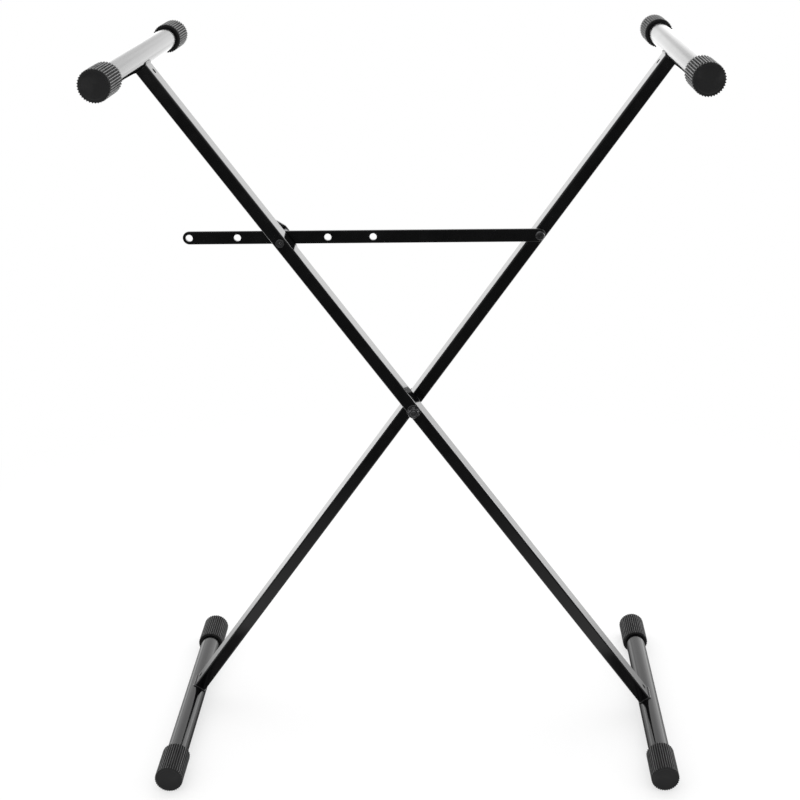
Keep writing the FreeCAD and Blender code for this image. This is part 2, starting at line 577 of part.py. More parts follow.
def front_frame(cap_master):
    """Everything that belongs to the leg that leans to the left at its top."""
    bush_hole = BUSH_OUTER / 2.0 + BUSH_CLEARANCE
    parts = frame_parts("front", FRONT_LEG_Y, bush_hole, -LEAN, "left", "right", cap_master)
    leg_solid = parts["front_leg"][0]
    for z in rivet_places():
        leg_solid = leg_solid.cut(rod(RIVET_DIAMETER / 2.0, FRONT_LEG_Y, 0.0, 0.0, z))
    parts["front_leg"] = [leg_solid]
    parts.update(pivot_parts())
    parts["latch_bracket"] = [bracket()]
    parts["bracket_rivets"] = [rivet(z) for z in rivet_places()]
    parts["pin_bush"] = [pin_bush()]
    parts["latch_spring"] = [latch_spring()]
    parts["plunger_pin"] = [plunger_pin()]
    parts["spring_seat"] = [seat_washer()]
    return {node: [leaned(s, -LEAN) for s in solids] for node, solids in parts.items()}


def back_frame(cap_master):
    """Everything that belongs to the leg that leans to the right at its top."""
    bore = STRAP_BOLT / 2.0 + STRAP_BOLT_CLEARANCE
    parts = frame_parts("back", BACK_LEG_Y, bore, LEAN, "right", "left", cap_master)
    parts.update(strap_bolt_parts())
    return {node: [leaned(s, LEAN) for s in solids] for node, solids in parts.items()}


def placed_strap():
    """The strap, level, from its bolt to the left past the front leg."""
    turn = math.radians(LEAN)
    solid = strap()
    solid.translate(Vector(STRAP_PIVOT_UP * math.sin(turn), 0, PIVOT_Z + STRAP_PIVOT_UP * math.cos(turn)))
    return solid


def build():
    """All nodes by name, each a list of separate solids."""
    cap_master = cap()
    nodes = front_frame(cap_master)
    nodes.update(back_frame(cap_master))
    nodes["locking_strap"] = [placed_strap()]
    nodes["pull_ring"] = [pull_ring(-LEAN)]
    nodes["plunger_pin"] = [nodes["plunger_pin"][0].cut(ring_hole(-LEAN))]
    return nodes


def export(nodes):
    """Write one STEP file for each node."""
    os.makedirs("parts", exist_ok=True)
    for node, solids in nodes.items():
        shape = solids[0] if len(solids) == 1 else Part.makeCompound(solids)
        shape.exportStep("parts/%s.step" % node)


def print_sizes(nodes):
    """Print what the record needs: joint places, limits and the whole size."""
    whole = Part.makeCompound([solid for solids in nodes.values() for solid in solids])
    box = whole.BoundBox
    print("nodes", len(nodes))
    print("box", [round(v, 2) for v in (box.XMin, box.XMax, box.YMin, box.YMax, box.ZMin, box.ZMax)])
    print("pivot height", round(PIVOT_Z, 4), "lean", round(LEAN, 4))
    print("fold range", round(STORED_OPENING_DEG - 2 * LEAN, 3), round(2 * (WIDEST_LEAN - LEAN), 3))
    for label, lean in (("strap bolt", LEAN), ("latch pin", -LEAN)):
        turn = math.radians(lean)
        print(label, round(STRAP_PIVOT_UP * math.sin(turn), 4),
              round(PIVOT_Z + STRAP_PIVOT_UP * math.cos(turn), 4))
    print("ring pivot", [round(v, 4) for v in ring_pivot(-LEAN)], "swing", RING_SWING_DEG)
    print("pin stroke", PIN_STROKE)
    for node, solids in nodes.items():
        for solid in solids:
            if not solid.isValid() or len(solid.Solids) != 1:
                print("check", node, solid.isValid(), len(solid.Solids))


all_nodes = build()
export(all_nodes)
print_sizes(all_nodes)
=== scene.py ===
"""Looks of a folding single-brace keyboard stand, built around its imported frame.

Metres.  +X right, +Y from front to back, +Z up; the origin lies on the floor below the centre
pivot.  Profiles of turned pieces and caps are given in millimetres.
"""
import json
import logging
import math
from collections.abc import Callable
from dataclasses import dataclass
from enum import Enum

import bmesh
import bpy
from mathutils import Matrix, Vector


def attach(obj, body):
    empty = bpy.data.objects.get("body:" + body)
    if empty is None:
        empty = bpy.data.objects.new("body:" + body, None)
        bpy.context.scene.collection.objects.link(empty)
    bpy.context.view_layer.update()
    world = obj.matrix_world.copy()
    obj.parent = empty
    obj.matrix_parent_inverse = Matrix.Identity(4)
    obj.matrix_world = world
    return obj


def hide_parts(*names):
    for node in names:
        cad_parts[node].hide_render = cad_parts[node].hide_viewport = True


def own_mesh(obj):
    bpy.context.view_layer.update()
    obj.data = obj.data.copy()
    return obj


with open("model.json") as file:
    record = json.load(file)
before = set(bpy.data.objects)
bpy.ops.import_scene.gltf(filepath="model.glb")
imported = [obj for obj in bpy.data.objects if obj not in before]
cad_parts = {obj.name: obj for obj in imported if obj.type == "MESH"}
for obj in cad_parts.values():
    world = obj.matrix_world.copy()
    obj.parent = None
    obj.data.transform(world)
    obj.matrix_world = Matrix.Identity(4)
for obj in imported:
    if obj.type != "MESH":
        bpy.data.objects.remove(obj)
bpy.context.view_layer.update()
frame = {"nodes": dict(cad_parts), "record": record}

LOG = logging.getLogger("stand")
MM = 0.001
SHARP_ANGLE = math.radians(32.0)
MERGE_DISTANCE = 1e-7
DEGENERATE_DISTANCE = 1e-8
FEW_OCTAVES, SOME_OCTAVES, MANY_OCTAVES = 2.0, 3.0, 4.0
SPECK_CORE, SPECK_CLUSTER, SPECK_RARITY = 0.4, 0.11, (0.55, 0.68)
WHITE = (1.0, 1.0, 1.0, 1.0)


# ---- names
class Slot(Enum):
    """The record's material slots."""

    POWDER_COAT = "black_powder_coat"
    CAP_RUBBER = "cap_rubber"
    HARDWARE = "black_hardware"
    STEEL = "bright_steel"
    NYLON = "spacer_nylon"


class Body(Enum):
    """The CAD bodies that new pieces ride on."""

    FRONT = "front_frame"
    BACK = "back_frame"
    RING = "ring"


class Facing(Enum):
    """Which way along Y a turned piece points."""

    FRONT = -1
    BACK = 1


# ---- node graphs
def operator(operation: str, swapped: bool = False) -> Callable:
    """A method of Term that adds one Math node.

    Args:
        operation: The node's operation.
        swapped: True for the form in which the term stands on the right.

    Returns:
        The method.
    """
    def method(self: "Term", other: "Term | float") -> "Term":
        """Add the node."""
        first, second = (other, self) if swapped else (self, other)
        return self.graph.node("ShaderNodeMath", {"operation": operation},
                               {0: first, 1: second})[0]
    return method


class Term:
    """One output socket, used as a number in expressions that add Math nodes."""

    __add__, __radd__ = operator("ADD"), operator("ADD", True)
    __sub__, __rsub__ = operator("SUBTRACT"), operator("SUBTRACT", True)
    __mul__, __rmul__ = operator("MULTIPLY"), operator("MULTIPLY", True)
    __truediv__ = operator("DIVIDE")

    def __init__(self, graph: "Graph", socket: bpy.types.NodeSocket) -> None:
        """Wrap a socket of a graph."""
        self.graph = graph
        self.socket = socket


class Made:
    """A node that was just made; its outputs are picked by name or number."""

    def __init__(self, graph: "Graph", node: bpy.types.Node) -> None:
        """Hold a node of a graph."""
        self.graph = graph
        self.node = node

    def __getitem__(self, key: str | int) -> Term:
        """One output as a term."""
        return Term(self.graph, self.node.outputs[key])


class Graph:
    """A node tree under construction."""

    def __init__(self, tree: bpy.types.NodeTree) -> None:
        """Hold the tree."""
        self.tree = tree

    def node(self, kind: str, settings: dict | None = None, sockets: dict | None = None) -> Made:
        """Add a node.

        Args:
            kind: The node's type.
            settings: Its properties, set before the sockets.
            sockets: Values, or terms to link, by input name or number.

        Returns:
            The new node.
        """
        node = self.tree.nodes.new(kind)
        for key, value in (settings or {}).items():
            setattr(node, key, value)
        for key, value in (sockets or {}).items():
            if isinstance(value, Term):
                self.tree.links.new(value.socket, node.inputs[key])
            else:
                node.inputs[key].default_value = value
        return Made(self, node)

    def _step(self, value: Term, limits: tuple, ends: tuple) -> Term:
        """A smooth change between two values, over the stretch between two limits."""
        return self.node("ShaderNodeMapRange", {"interpolation_type": "SMOOTHSTEP"}, {
            "Value": value, "From Min": limits[0], "From Max": limits[1],
            "To Min": ends[0], "To Max": ends[1]})["Result"]

    def smooth(self, value: Term, low: float | Term, high: float | Term,
               amount: float = 1.0) -> Term:
        """0 below low, the amount above high and a smooth rise between them."""
        return self._step(value, (low, high), (0.0, amount))

    def fade(self, value: Term, low: float, high: float, amount: float = 1.0) -> Term:
        """The amount below low, 0 above high and a smooth fall between them."""
        return self._step(value, (low, high), (amount, 0.0))

    def apply(self, operation: str, value: Term) -> Term:
        """A Math node of one input, such as SINE or ABSOLUTE."""
        return self.node("ShaderNodeMath", {"operation": operation}, {0: value})[0]


class ShaderGraph(Graph):
    """A material under construction, with patterns on object coordinates."""

    def __init__(self, name: str) -> None:
        """Start an empty material."""
        self.material = bpy.data.materials.new(name)
        self.material.use_nodes = True
        self.material.node_tree.nodes.clear()
        super().__init__(self.material.node_tree)
        self.place = self.node("ShaderNodeTexCoord")["Object"]

    def noise(self, scale: float, detail: float, stretch: tuple = (1.0, 1.0, 1.0)) -> Term:
        """Noise of a scale in cells per metre, stretched by a factor along each axis."""
        mapping = self.node("ShaderNodeMapping", {}, {"Vector": self.place, "Scale": stretch})
        return self.node("ShaderNodeTexNoise", {},
                         {"Vector": mapping[0], "Scale": scale, "Detail": detail})["Fac"]

    def specks(self, scale: float, radius: float) -> Term:
        """1 in scattered small dots and 0 elsewhere; radius is a share of a cell."""
        cells = self.node("ShaderNodeTexVoronoi", {}, {"Vector": self.place, "Scale": scale})
        dots = self.fade(cells["Distance"], radius * SPECK_CORE, radius)
        return dots * self.smooth(self.noise(scale * SPECK_CLUSTER, 1.0), *SPECK_RARITY)

    def blend(self, factor: Term, first: tuple | Term, second: tuple | Term) -> Term:
        """A colour between two plain or patterned colours, by a factor."""
        ends = [end if isinstance(end, Term) else (*end, 1.0) for end in (first, second)]
        return self.node("ShaderNodeMix", {"data_type": "RGBA"},
                         {0: factor, 6: ends[0], 7: ends[1]})[2]

    def bump(self, height: Term, strength: float, distance: float) -> Term:
        """A normal bent by a height."""
        return self.node("ShaderNodeBump", {},
                         {"Height": height, "Strength": strength, "Distance": distance})["Normal"]

    def finish(self, fixed: dict, varying: dict) -> bpy.types.Material:
        """End the graph in one principled shader.

        Args:
            fixed: Sockets that are the same all over.
            varying: Sockets that follow a pattern.

        Returns:
            The finished material.
        """
        shader = self.node("ShaderNodeBsdfPrincipled", {}, {**fixed, **varying})
        self.node("ShaderNodeOutputMaterial", {}, {"Surface": shader["BSDF"]})
        return self.material


class MeshGraph(Graph):
    """A Geometry Nodes tree with named inputs, which ends in plain meshes with a material."""

    def __init__(self, name: str, inputs: dict[str, str]) -> None:
        """Start a tree.

        Args:
            name: The tree's name.
            inputs: Socket type by input name, without the "NodeSocket" in front.
        """
        super().__init__(bpy.data.node_groups.new(name, "GeometryNodeTree"))
        face = self.tree.interface
        for label, kind in {"Geometry": "Geometry", **inputs, "Finish": "Material"}.items():
            face.new_socket(label, in_out="INPUT", socket_type="NodeSocket" + kind)
        face.new_socket("Geometry", in_out="OUTPUT", socket_type="NodeSocketGeometry")
        self.given = self.node("NodeGroupInput")

    def close(self, geometry: Term) -> "MeshGraph":
        """Join the result to the output, smooth, realized and with its material."""
        soft = self.node("GeometryNodeSetShadeSmooth", {}, {"Geometry": geometry})
        plain = self.node("GeometryNodeRealizeInstances", {}, {"Geometry": soft[0]})
        done = self.node("GeometryNodeSetMaterial", {},
                         {"Geometry": plain[0], "Material": self.given["Finish"]})
        self.node("NodeGroupOutput", {}, {"Geometry": done[0]})
        return self

    def grow(self, seed: bpy.types.Mesh, finish: bpy.types.Material,
             values: dict) -> bpy.types.Mesh:
        """Run the tree.

        Args:
            seed: The mesh that goes in.
            finish: The material of the result.
            values: Input values by name.

        Returns:
            The result as a plain mesh.
        """
        carrier = bpy.data.objects.new(seed.name + "_carrier", seed)
        bpy.context.scene.collection.objects.link(carrier)
        modifier = carrier.modifiers.new("grow", "NODES")
        modifier.node_group = self.tree
        named = {**values, "Finish": finish}
        for item in self.tree.interface.items_tree:
            if item.in_out == "INPUT" and item.name in named:
                modifier[item.identifier] = named[item.name]
        shown = carrier.evaluated_get(bpy.context.evaluated_depsgraph_get())
        mesh = bpy.data.meshes.new_from_object(shown)
        carrier.modifiers.clear()
        bpy.data.objects.remove(carrier)
        return mesh


# ---- finishes
@dataclass(frozen=True)
class PowderCoat:
    """Smooth gloss black powder coat on the steel tubes and the strap."""

    deep: tuple = (0.0016, 0.0016, 0.0018)
    hazy: tuple = (0.0034, 0.0034, 0.0037)
    dusty: tuple = (0.055, 0.055, 0.057)
    clouds_per_metre: float = 16.0
    streaks_per_metre: float = 90.0
    streak_stretch: tuple = (1.0, 0.25, 1.0)
    cloud_share: float = 0.6
    haze_limits: tuple = (0.35, 0.68)
    dust_per_metre: float = 520.0
    dust_radius: float = 0.16
    dust_cover: float = 0.5
    gloss: float = 0.085
    haze_roughness: float = 0.07
    dust_roughness: float = 0.25
    peel_per_metre: float = 620.0
    peel_strength: float = 0.05
    peel_depth: float = 0.00003
    refraction: float = 1.52

    def material(self) -> bpy.types.Material:
        """The coat, with a faint orange peel, cloudy gloss and rare specks of dust."""
        shader = ShaderGraph("powder_coat_gloss_black")
        cloud = shader.noise(self.clouds_per_metre, MANY_OCTAVES)
        streak = shader.noise(self.streaks_per_metre, SOME_OCTAVES, self.streak_stretch)
        peel = shader.noise(self.peel_per_metre, FEW_OCTAVES)
        dust = shader.specks(self.dust_per_metre, self.dust_radius)
        haze = shader.smooth(cloud * self.cloud_share + streak * (1.0 - self.cloud_share),
                             *self.haze_limits)
        coat = shader.blend(haze, self.deep, self.hazy)
        return shader.finish({"IOR": self.refraction}, {
            "Base Color": shader.blend(dust * self.dust_cover, coat, self.dusty),
            "Roughness": self.gloss + self.haze_roughness * haze + self.dust_roughness * dust,
            "Normal": shader.bump(peel, self.peel_strength, self.peel_depth)})


@dataclass(frozen=True)
class CapRubber:
    """Satin black moulded rubber of the end caps; the crests of the ribs are rubbed smoother.
    Their lighter colour is a painted highlight, and the darker grooves are painted shade.
    """

    # plain is the rubber's own colour; crest is a lighter painted highlight on the rib crests,
    # and groove is a darker painted shade in the grooves between the ribs
    plain: tuple = (0.0145, 0.0145, 0.015)
    groove: tuple = (0.0022, 0.0022, 0.0023)
    crest: tuple = (0.026, 0.026, 0.0265)
    bloom: tuple = (0.040, 0.040, 0.041)
    patches_per_metre: float = 45.0
    patch_octaves: float = 5.0
    patch_limits: tuple = (0.48, 0.72)
    patch_cover: float = 0.35
    scuffs_per_metre: float = 260.0
    scuff_stretch: tuple = (1.0, 0.15, 1.0)
    scuff_limits: tuple = (0.58, 0.74)
    roughness: float = 0.5
    crest_polish: float = 0.14
    groove_roughness: float = 0.3
    patch_roughness: float = 0.08
    scuff_roughness: float = 0.10
    grain_per_metre: float = 1900.0
    grain_strength: float = 0.25
    grain_depth: float = 0.00006
    refraction: float = 1.5
    reflection: float = 0.25

    def material(self) -> bpy.types.Material:
        """The rubber, with a fine grain, a pale bloom in patches, marks of handling, a painted
        highlight on the rib crests and painted shade in the grooves.
        """
        shader = ShaderGraph("cap_rubber_satin_black")
        crest, groove = (shader.node("ShaderNodeAttribute", {"attribute_name": name})["Fac"]
                         for name in ("crest", "groove"))
        patch = shader.smooth(shader.noise(self.patches_per_metre, self.patch_octaves),
                              *self.patch_limits)
        grain = shader.noise(self.grain_per_metre, FEW_OCTAVES)
        scuff = shader.smooth(shader.noise(self.scuffs_per_metre, MANY_OCTAVES,
                                           self.scuff_stretch), *self.scuff_limits)
        # painted highlight: the rib crests are made lighter than the plain rubber
        crest_highlighted = shader.blend(crest, self.plain, self.crest)
        rubbed = shader.blend(patch * self.patch_cover, crest_highlighted, self.bloom)
        worn = self.roughness - self.crest_polish * crest + self.groove_roughness * groove
        return shader.finish({"IOR": self.refraction, "Specular IOR Level": self.reflection}, {
            # painted shade: the grooves between the ribs are darkened
            "Base Color": shader.blend(groove, rubbed, self.groove),
            "Roughness": worn + self.patch_roughness * patch + self.scuff_roughness * scuff,
            "Normal": shader.bump(grain, self.grain_strength, self.grain_depth)})


@dataclass(frozen=True)
class Plated:
    """Plated metal: cloudy, with a finer mark over it from rubbing or drawing."""

    name: str
    dark: tuple
    light: tuple
    clouds_per_metre: float
    cloud_limits: tuple
    cloud_share: float
    marks_per_metre: float
    mark_octaves: float
    mark_stretch: tuple
    mark_limits: tuple | None
    metal: float
    cloud_metal: float
    roughness: float
    cloud_roughness: float
    mark_roughness: float
    bump_strength: float
    bump_depth: float = 0.00003
    refraction: float = 1.5

    def material(self) -> bpy.types.Material:
        """The plating."""
        shader = ShaderGraph(self.name)
        cloud = shader.smooth(shader.noise(self.clouds_per_metre, MANY_OCTAVES),
                              *self.cloud_limits)
        mark = shader.noise(self.marks_per_metre, self.mark_octaves, self.mark_stretch)
        if self.mark_limits:
            mark = shader.smooth(mark, *self.mark_limits)
        mixed = cloud * self.cloud_share + mark * (1.0 - self.cloud_share)
        rough = self.roughness + self.cloud_roughness * cloud + self.mark_roughness * mark
        return shader.finish({"IOR": self.refraction}, {
            "Base Color": shader.blend(mixed, self.dark, self.light),
            "Metallic": self.metal + self.cloud_metal * cloud,
            "Roughness": rough,
            "Normal": shader.bump(mark, self.bump_strength, self.bump_depth)})


@dataclass(frozen=True)
class BlackZinc(Plated):
    """Black zinc plating of bolts, nuts, washers and rivets, brighter where it is rubbed."""

    name: str = "black_zinc"
    dark: tuple = (0.05, 0.05, 0.052)
    light: tuple = (0.16, 0.16, 0.165)
    clouds_per_metre: float = 340.0
    cloud_limits: tuple = (0.35, 0.7)
    cloud_share: float = 0.7
    marks_per_metre: float = 1500.0
    mark_octaves: float = FEW_OCTAVES
    mark_stretch: tuple = (1.0, 1.0, 1.0)
    mark_limits: tuple | None = (0.5, 0.8)
    metal: float = 0.65
    cloud_metal: float = 0.3
    roughness: float = 0.15
    cloud_roughness: float = 0.1
    mark_roughness: float = 0.08
    bump_strength: float = 0.12


@dataclass(frozen=True)
class BrightSteel(Plated):
    """Zinc plated steel of the pin, its spring and the pull ring, with drawing lines."""

    name: str = "bright_zinc_steel"
    dark: tuple = (0.36, 0.365, 0.375)
    light: tuple = (0.62, 0.625, 0.63)
    clouds_per_metre: float = 210.0
    cloud_limits: tuple = (0.38, 0.7)
    cloud_share: float = 0.6
    marks_per_metre: float = 900.0
    mark_octaves: float = SOME_OCTAVES
    mark_stretch: tuple = (1.0, 8.0, 1.0)
    mark_limits: tuple | None = None
    metal: float = 0.94
    cloud_metal: float = 0.06
    roughness: float = 0.2
    cloud_roughness: float = 0.14
    mark_roughness: float = 0.08
    bump_strength: float = 0.15


@dataclass(frozen=True)
class Nylon:
    """Black nylon of the spacer between the legs."""

    dark: tuple = (0.010, 0.010, 0.0105)
    light: tuple = (0.024, 0.024, 0.025)
    clouds_per_metre: float = 300.0
    grain_per_metre: float = 2200.0
    roughness: float = 0.42
    cloud_roughness: float = 0.16
    grain_strength: float = 0.2
    grain_depth: float = 0.00005
    refraction: float = 1.53
    reflection: float = 0.45

    def material(self) -> bpy.types.Material:
        """The moulding, matte with a light grain."""
        shader = ShaderGraph("spacer_nylon_black")
        cloud = shader.noise(self.clouds_per_metre, MANY_OCTAVES)
        grain = shader.noise(self.grain_per_metre, FEW_OCTAVES)
        return shader.finish({"IOR": self.refraction, "Specular IOR Level": self.reflection}, {
            "Base Color": shader.blend(cloud, self.dark, self.light),
            "Roughness": self.roughness + self.cloud_roughness * cloud,
            "Normal": shader.bump(grain, self.grain_strength, self.grain_depth)})


class Finishes:
    """Every finish of the stand, made once and found by its slot."""

    def __init__(self) -> None:
        """Make the materials."""
        recipes = {Slot.POWDER_COAT: PowderCoat(), Slot.CAP_RUBBER: CapRubber(),
                   Slot.HARDWARE: BlackZinc(), Slot.STEEL: BrightSteel(), Slot.NYLON: Nylon()}
        self.made = {slot: recipe.material() for slot, recipe in recipes.items()}

    def __getitem__(self, slot: Slot) -> bpy.types.Material:
        """The material of a slot."""
        return self.made[slot]

    def dress_frame(self) -> None:
        """Give every CAD node the finish of its record slot."""
        for row in frame["record"]["subparts"]:
            node = frame["nodes"][row["node"]]
            node.data.materials.clear()
            node.data.materials.append(self.made[Slot(row["material_slot"])])
            LOG.info("dressed %s in %s", row["node"], row["material_slot"])


# ---- shared sizes and places
@dataclass(frozen=True)
class Layout:
    """The stand's main sizes, the same as in the part's source, in metres."""

    above_pivot: float = 500.0 * MM
    below_pivot: float = 500.0 * MM
    strap_pivot_up: float = 250.0 * MM
    rest_hole: float = 292.0 * MM
    leg_width: float = 15.0 * MM
    leg_depth: float = 25.0 * MM
    leg_corner: float = 2.0 * MM
    leg_gap: float = 6.0 * MM
    tube_radius: float = 12.5 * MM
    cap_radius: float = 16.5 * MM
    upper_span: float = 410.0 * MM
    base_span: float = 355.0 * MM

    @property
    def lean(self) -> float:
        """The angle between a leg and the vertical."""
        return math.asin(self.rest_hole / (2.0 * self.strap_pivot_up))

    @property
    def pivot_height(self) -> float:
        """Height of the centre pivot over the floor."""
        return self.cap_radius + self.below_pivot * math.cos(self.lean)

    @property
    def front_face(self) -> float:
        """Y of the front leg's front."""
        return -(self.leg_gap / 2.0 + self.leg_depth)

    def turn(self, body: Body) -> float:
        """How far a frame leans about +Y."""
        return -self.lean if body is Body.FRONT else self.lean

    def stand(self, body: Body) -> Matrix:
        """From an upright frame with its pivot at the origin to where the frame stands."""
        return (Matrix.Translation((0.0, 0.0, self.pivot_height))
                @ Matrix.Rotation(self.turn(body), 4, "Y"))


LAYOUT = Layout()


# ---- meshes
def joined(name: str, parts: list[bpy.types.Mesh], finish: bpy.types.Material) -> bpy.types.Mesh:
    """Several meshes as one.

    Args:
        name: The new mesh's name.
        parts: The meshes.
        finish: The material of the whole.

    Returns:
        The new mesh.
    """
    work = bmesh.new()
    for part in parts:
        work.from_mesh(part)
    mesh = bpy.data.meshes.new(name)
    work.to_mesh(mesh)
    work.free()
    mesh.materials.append(finish)
    return mesh


def closed(mesh: bpy.types.Mesh, name: str) -> bpy.types.Mesh:
    """Merge doubles, point the faces outwards and report open edges.

    Args:
        mesh: The mesh to mend.
        name: The name used in the report.

    Returns:
        The same mesh.
    """
    work = bmesh.new()
    work.from_mesh(mesh)
    bmesh.ops.remove_doubles(work, verts=work.verts, dist=MERGE_DISTANCE)
    bmesh.ops.dissolve_degenerate(work, edges=work.edges, dist=DEGENERATE_DISTANCE)
    bmesh.ops.recalc_face_normals(work, faces=work.faces)
    gaps = sum(1 for edge in work.edges if len(edge.link_faces) != 2)
    if gaps:
        LOG.warning("%s has %d open edges", name, gaps)
    work.to_mesh(mesh)
    work.free()
    mesh.polygons.foreach_set("use_smooth", [True] * len(mesh.polygons))
    mesh.set_sharp_from_angle(angle=SHARP_ANGLE)
    return mesh


def add_piece(name: str, mesh: bpy.types.Mesh, body: Body,
              nodes: tuple) -> bpy.types.Object:
    """Put a finished mesh into the scene on its body and hide the CAD nodes that it replaces.

    Args:
        name: The piece's name.
        mesh: The mesh, already in place in the shared frame.
        body: The body that it rides on.
        nodes: The CAD nodes that it replaces.

    Returns:
        The piece.
    """
    mesh.name = name
    piece = bpy.data.objects.new(name, mesh)
    bpy.context.scene.collection.objects.link(piece)
    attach(piece, body.value)
    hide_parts(*nodes)
    LOG.info("%s: %d faces on %s", name, len(mesh.polygons), body.value)
    return piece


@dataclass(frozen=True)
class Station:
    """One place along a turned profile; flats makes its outline a hexagon."""

    radius: float
    along: float
    flats: float = 0.0

    def reach(self, angle: float) -> float:
        """The outline's distance from the axis in one direction."""
        if not self.flats:
            return self.radius
        sixth = math.pi / 3.0
        off_middle = (angle % sixth) - sixth / 2.0
        return min(self.radius, self.flats / 2.0 / math.cos(off_middle))


@dataclass
class Turned:
    """A piece turned about the Y axis, from stations given in millimetres."""

    stations: list[Station]
    sides: int = 96
    looped: bool = False

    def mesh(self, name: str, place: Matrix, finish: bpy.types.Material) -> bpy.types.Mesh:
        """Build the mesh.

        Args:
            name: The mesh's name.
            place: Where the piece goes.
            finish: Its material.

        Returns:
            A closed mesh in metres.
        """
        work = bmesh.new()
        rings = [self._ring(work, station) for station in self.stations]
        pairs = list(zip(rings, rings[1:]))
        if self.looped:
            pairs.append((rings[-1], rings[0]))
        for first, second in pairs:
            self._join(work, first, second)
        mesh = bpy.data.meshes.new(name)
        work.to_mesh(mesh)
        work.free()
        mesh.transform(place @ Matrix.Scale(MM, 4))
        mesh.materials.append(finish)
        return closed(mesh, name)

    def _ring(self, work: bmesh.types.BMesh, station: Station) -> list:
        """The vertices of one station; one vertex on the axis."""
        if station.radius <= 0.0:
            return [work.verts.new((0.0, station.along, 0.0))]
        made = []
        for k in range(self.sides):
            angle = 2.0 * math.pi * k / self.sides
            reach = station.reach(angle)
            made.append(work.verts.new((reach * math.cos(angle), station.along,
                                        reach * math.sin(angle))))
        return made

    def _join(self, work: bmesh.types.BMesh, first: list, second: list) -> None:
        """The faces between two stations."""
        for k in range(self.sides):
            after = (k + 1) % self.sides
            if len(first) == 1:
                work.faces.new((first[0], second[k], second[after]))
            elif len(second) == 1:
                work.faces.new((first[k], second[0], first[after]))
            else:
                work.faces.new((first[k], second[k], second[after], first[after]))


def arc(radius: float, along: float, size: float, start: float, end: float,
        steps: int) -> list[Station]:
    """Stations round an arc.

    Args:
        radius: The arc centre's distance from the axis.
        along: The arc centre's place along the axis.
        size: The arc's own radius.
        start: First angle in degrees, 0 away from the axis and 90 along it.
        end: Last angle in degrees.
        steps: How many pieces the arc is divided into.

    Returns:
        The stations in order.
    """
    made = []
    for k in range(steps + 1):
        angle = math.radians(start + (end - start) * k / steps)
        made.append(Station(radius + size * math.cos(angle), along + size * math.sin(angle)))
    return made


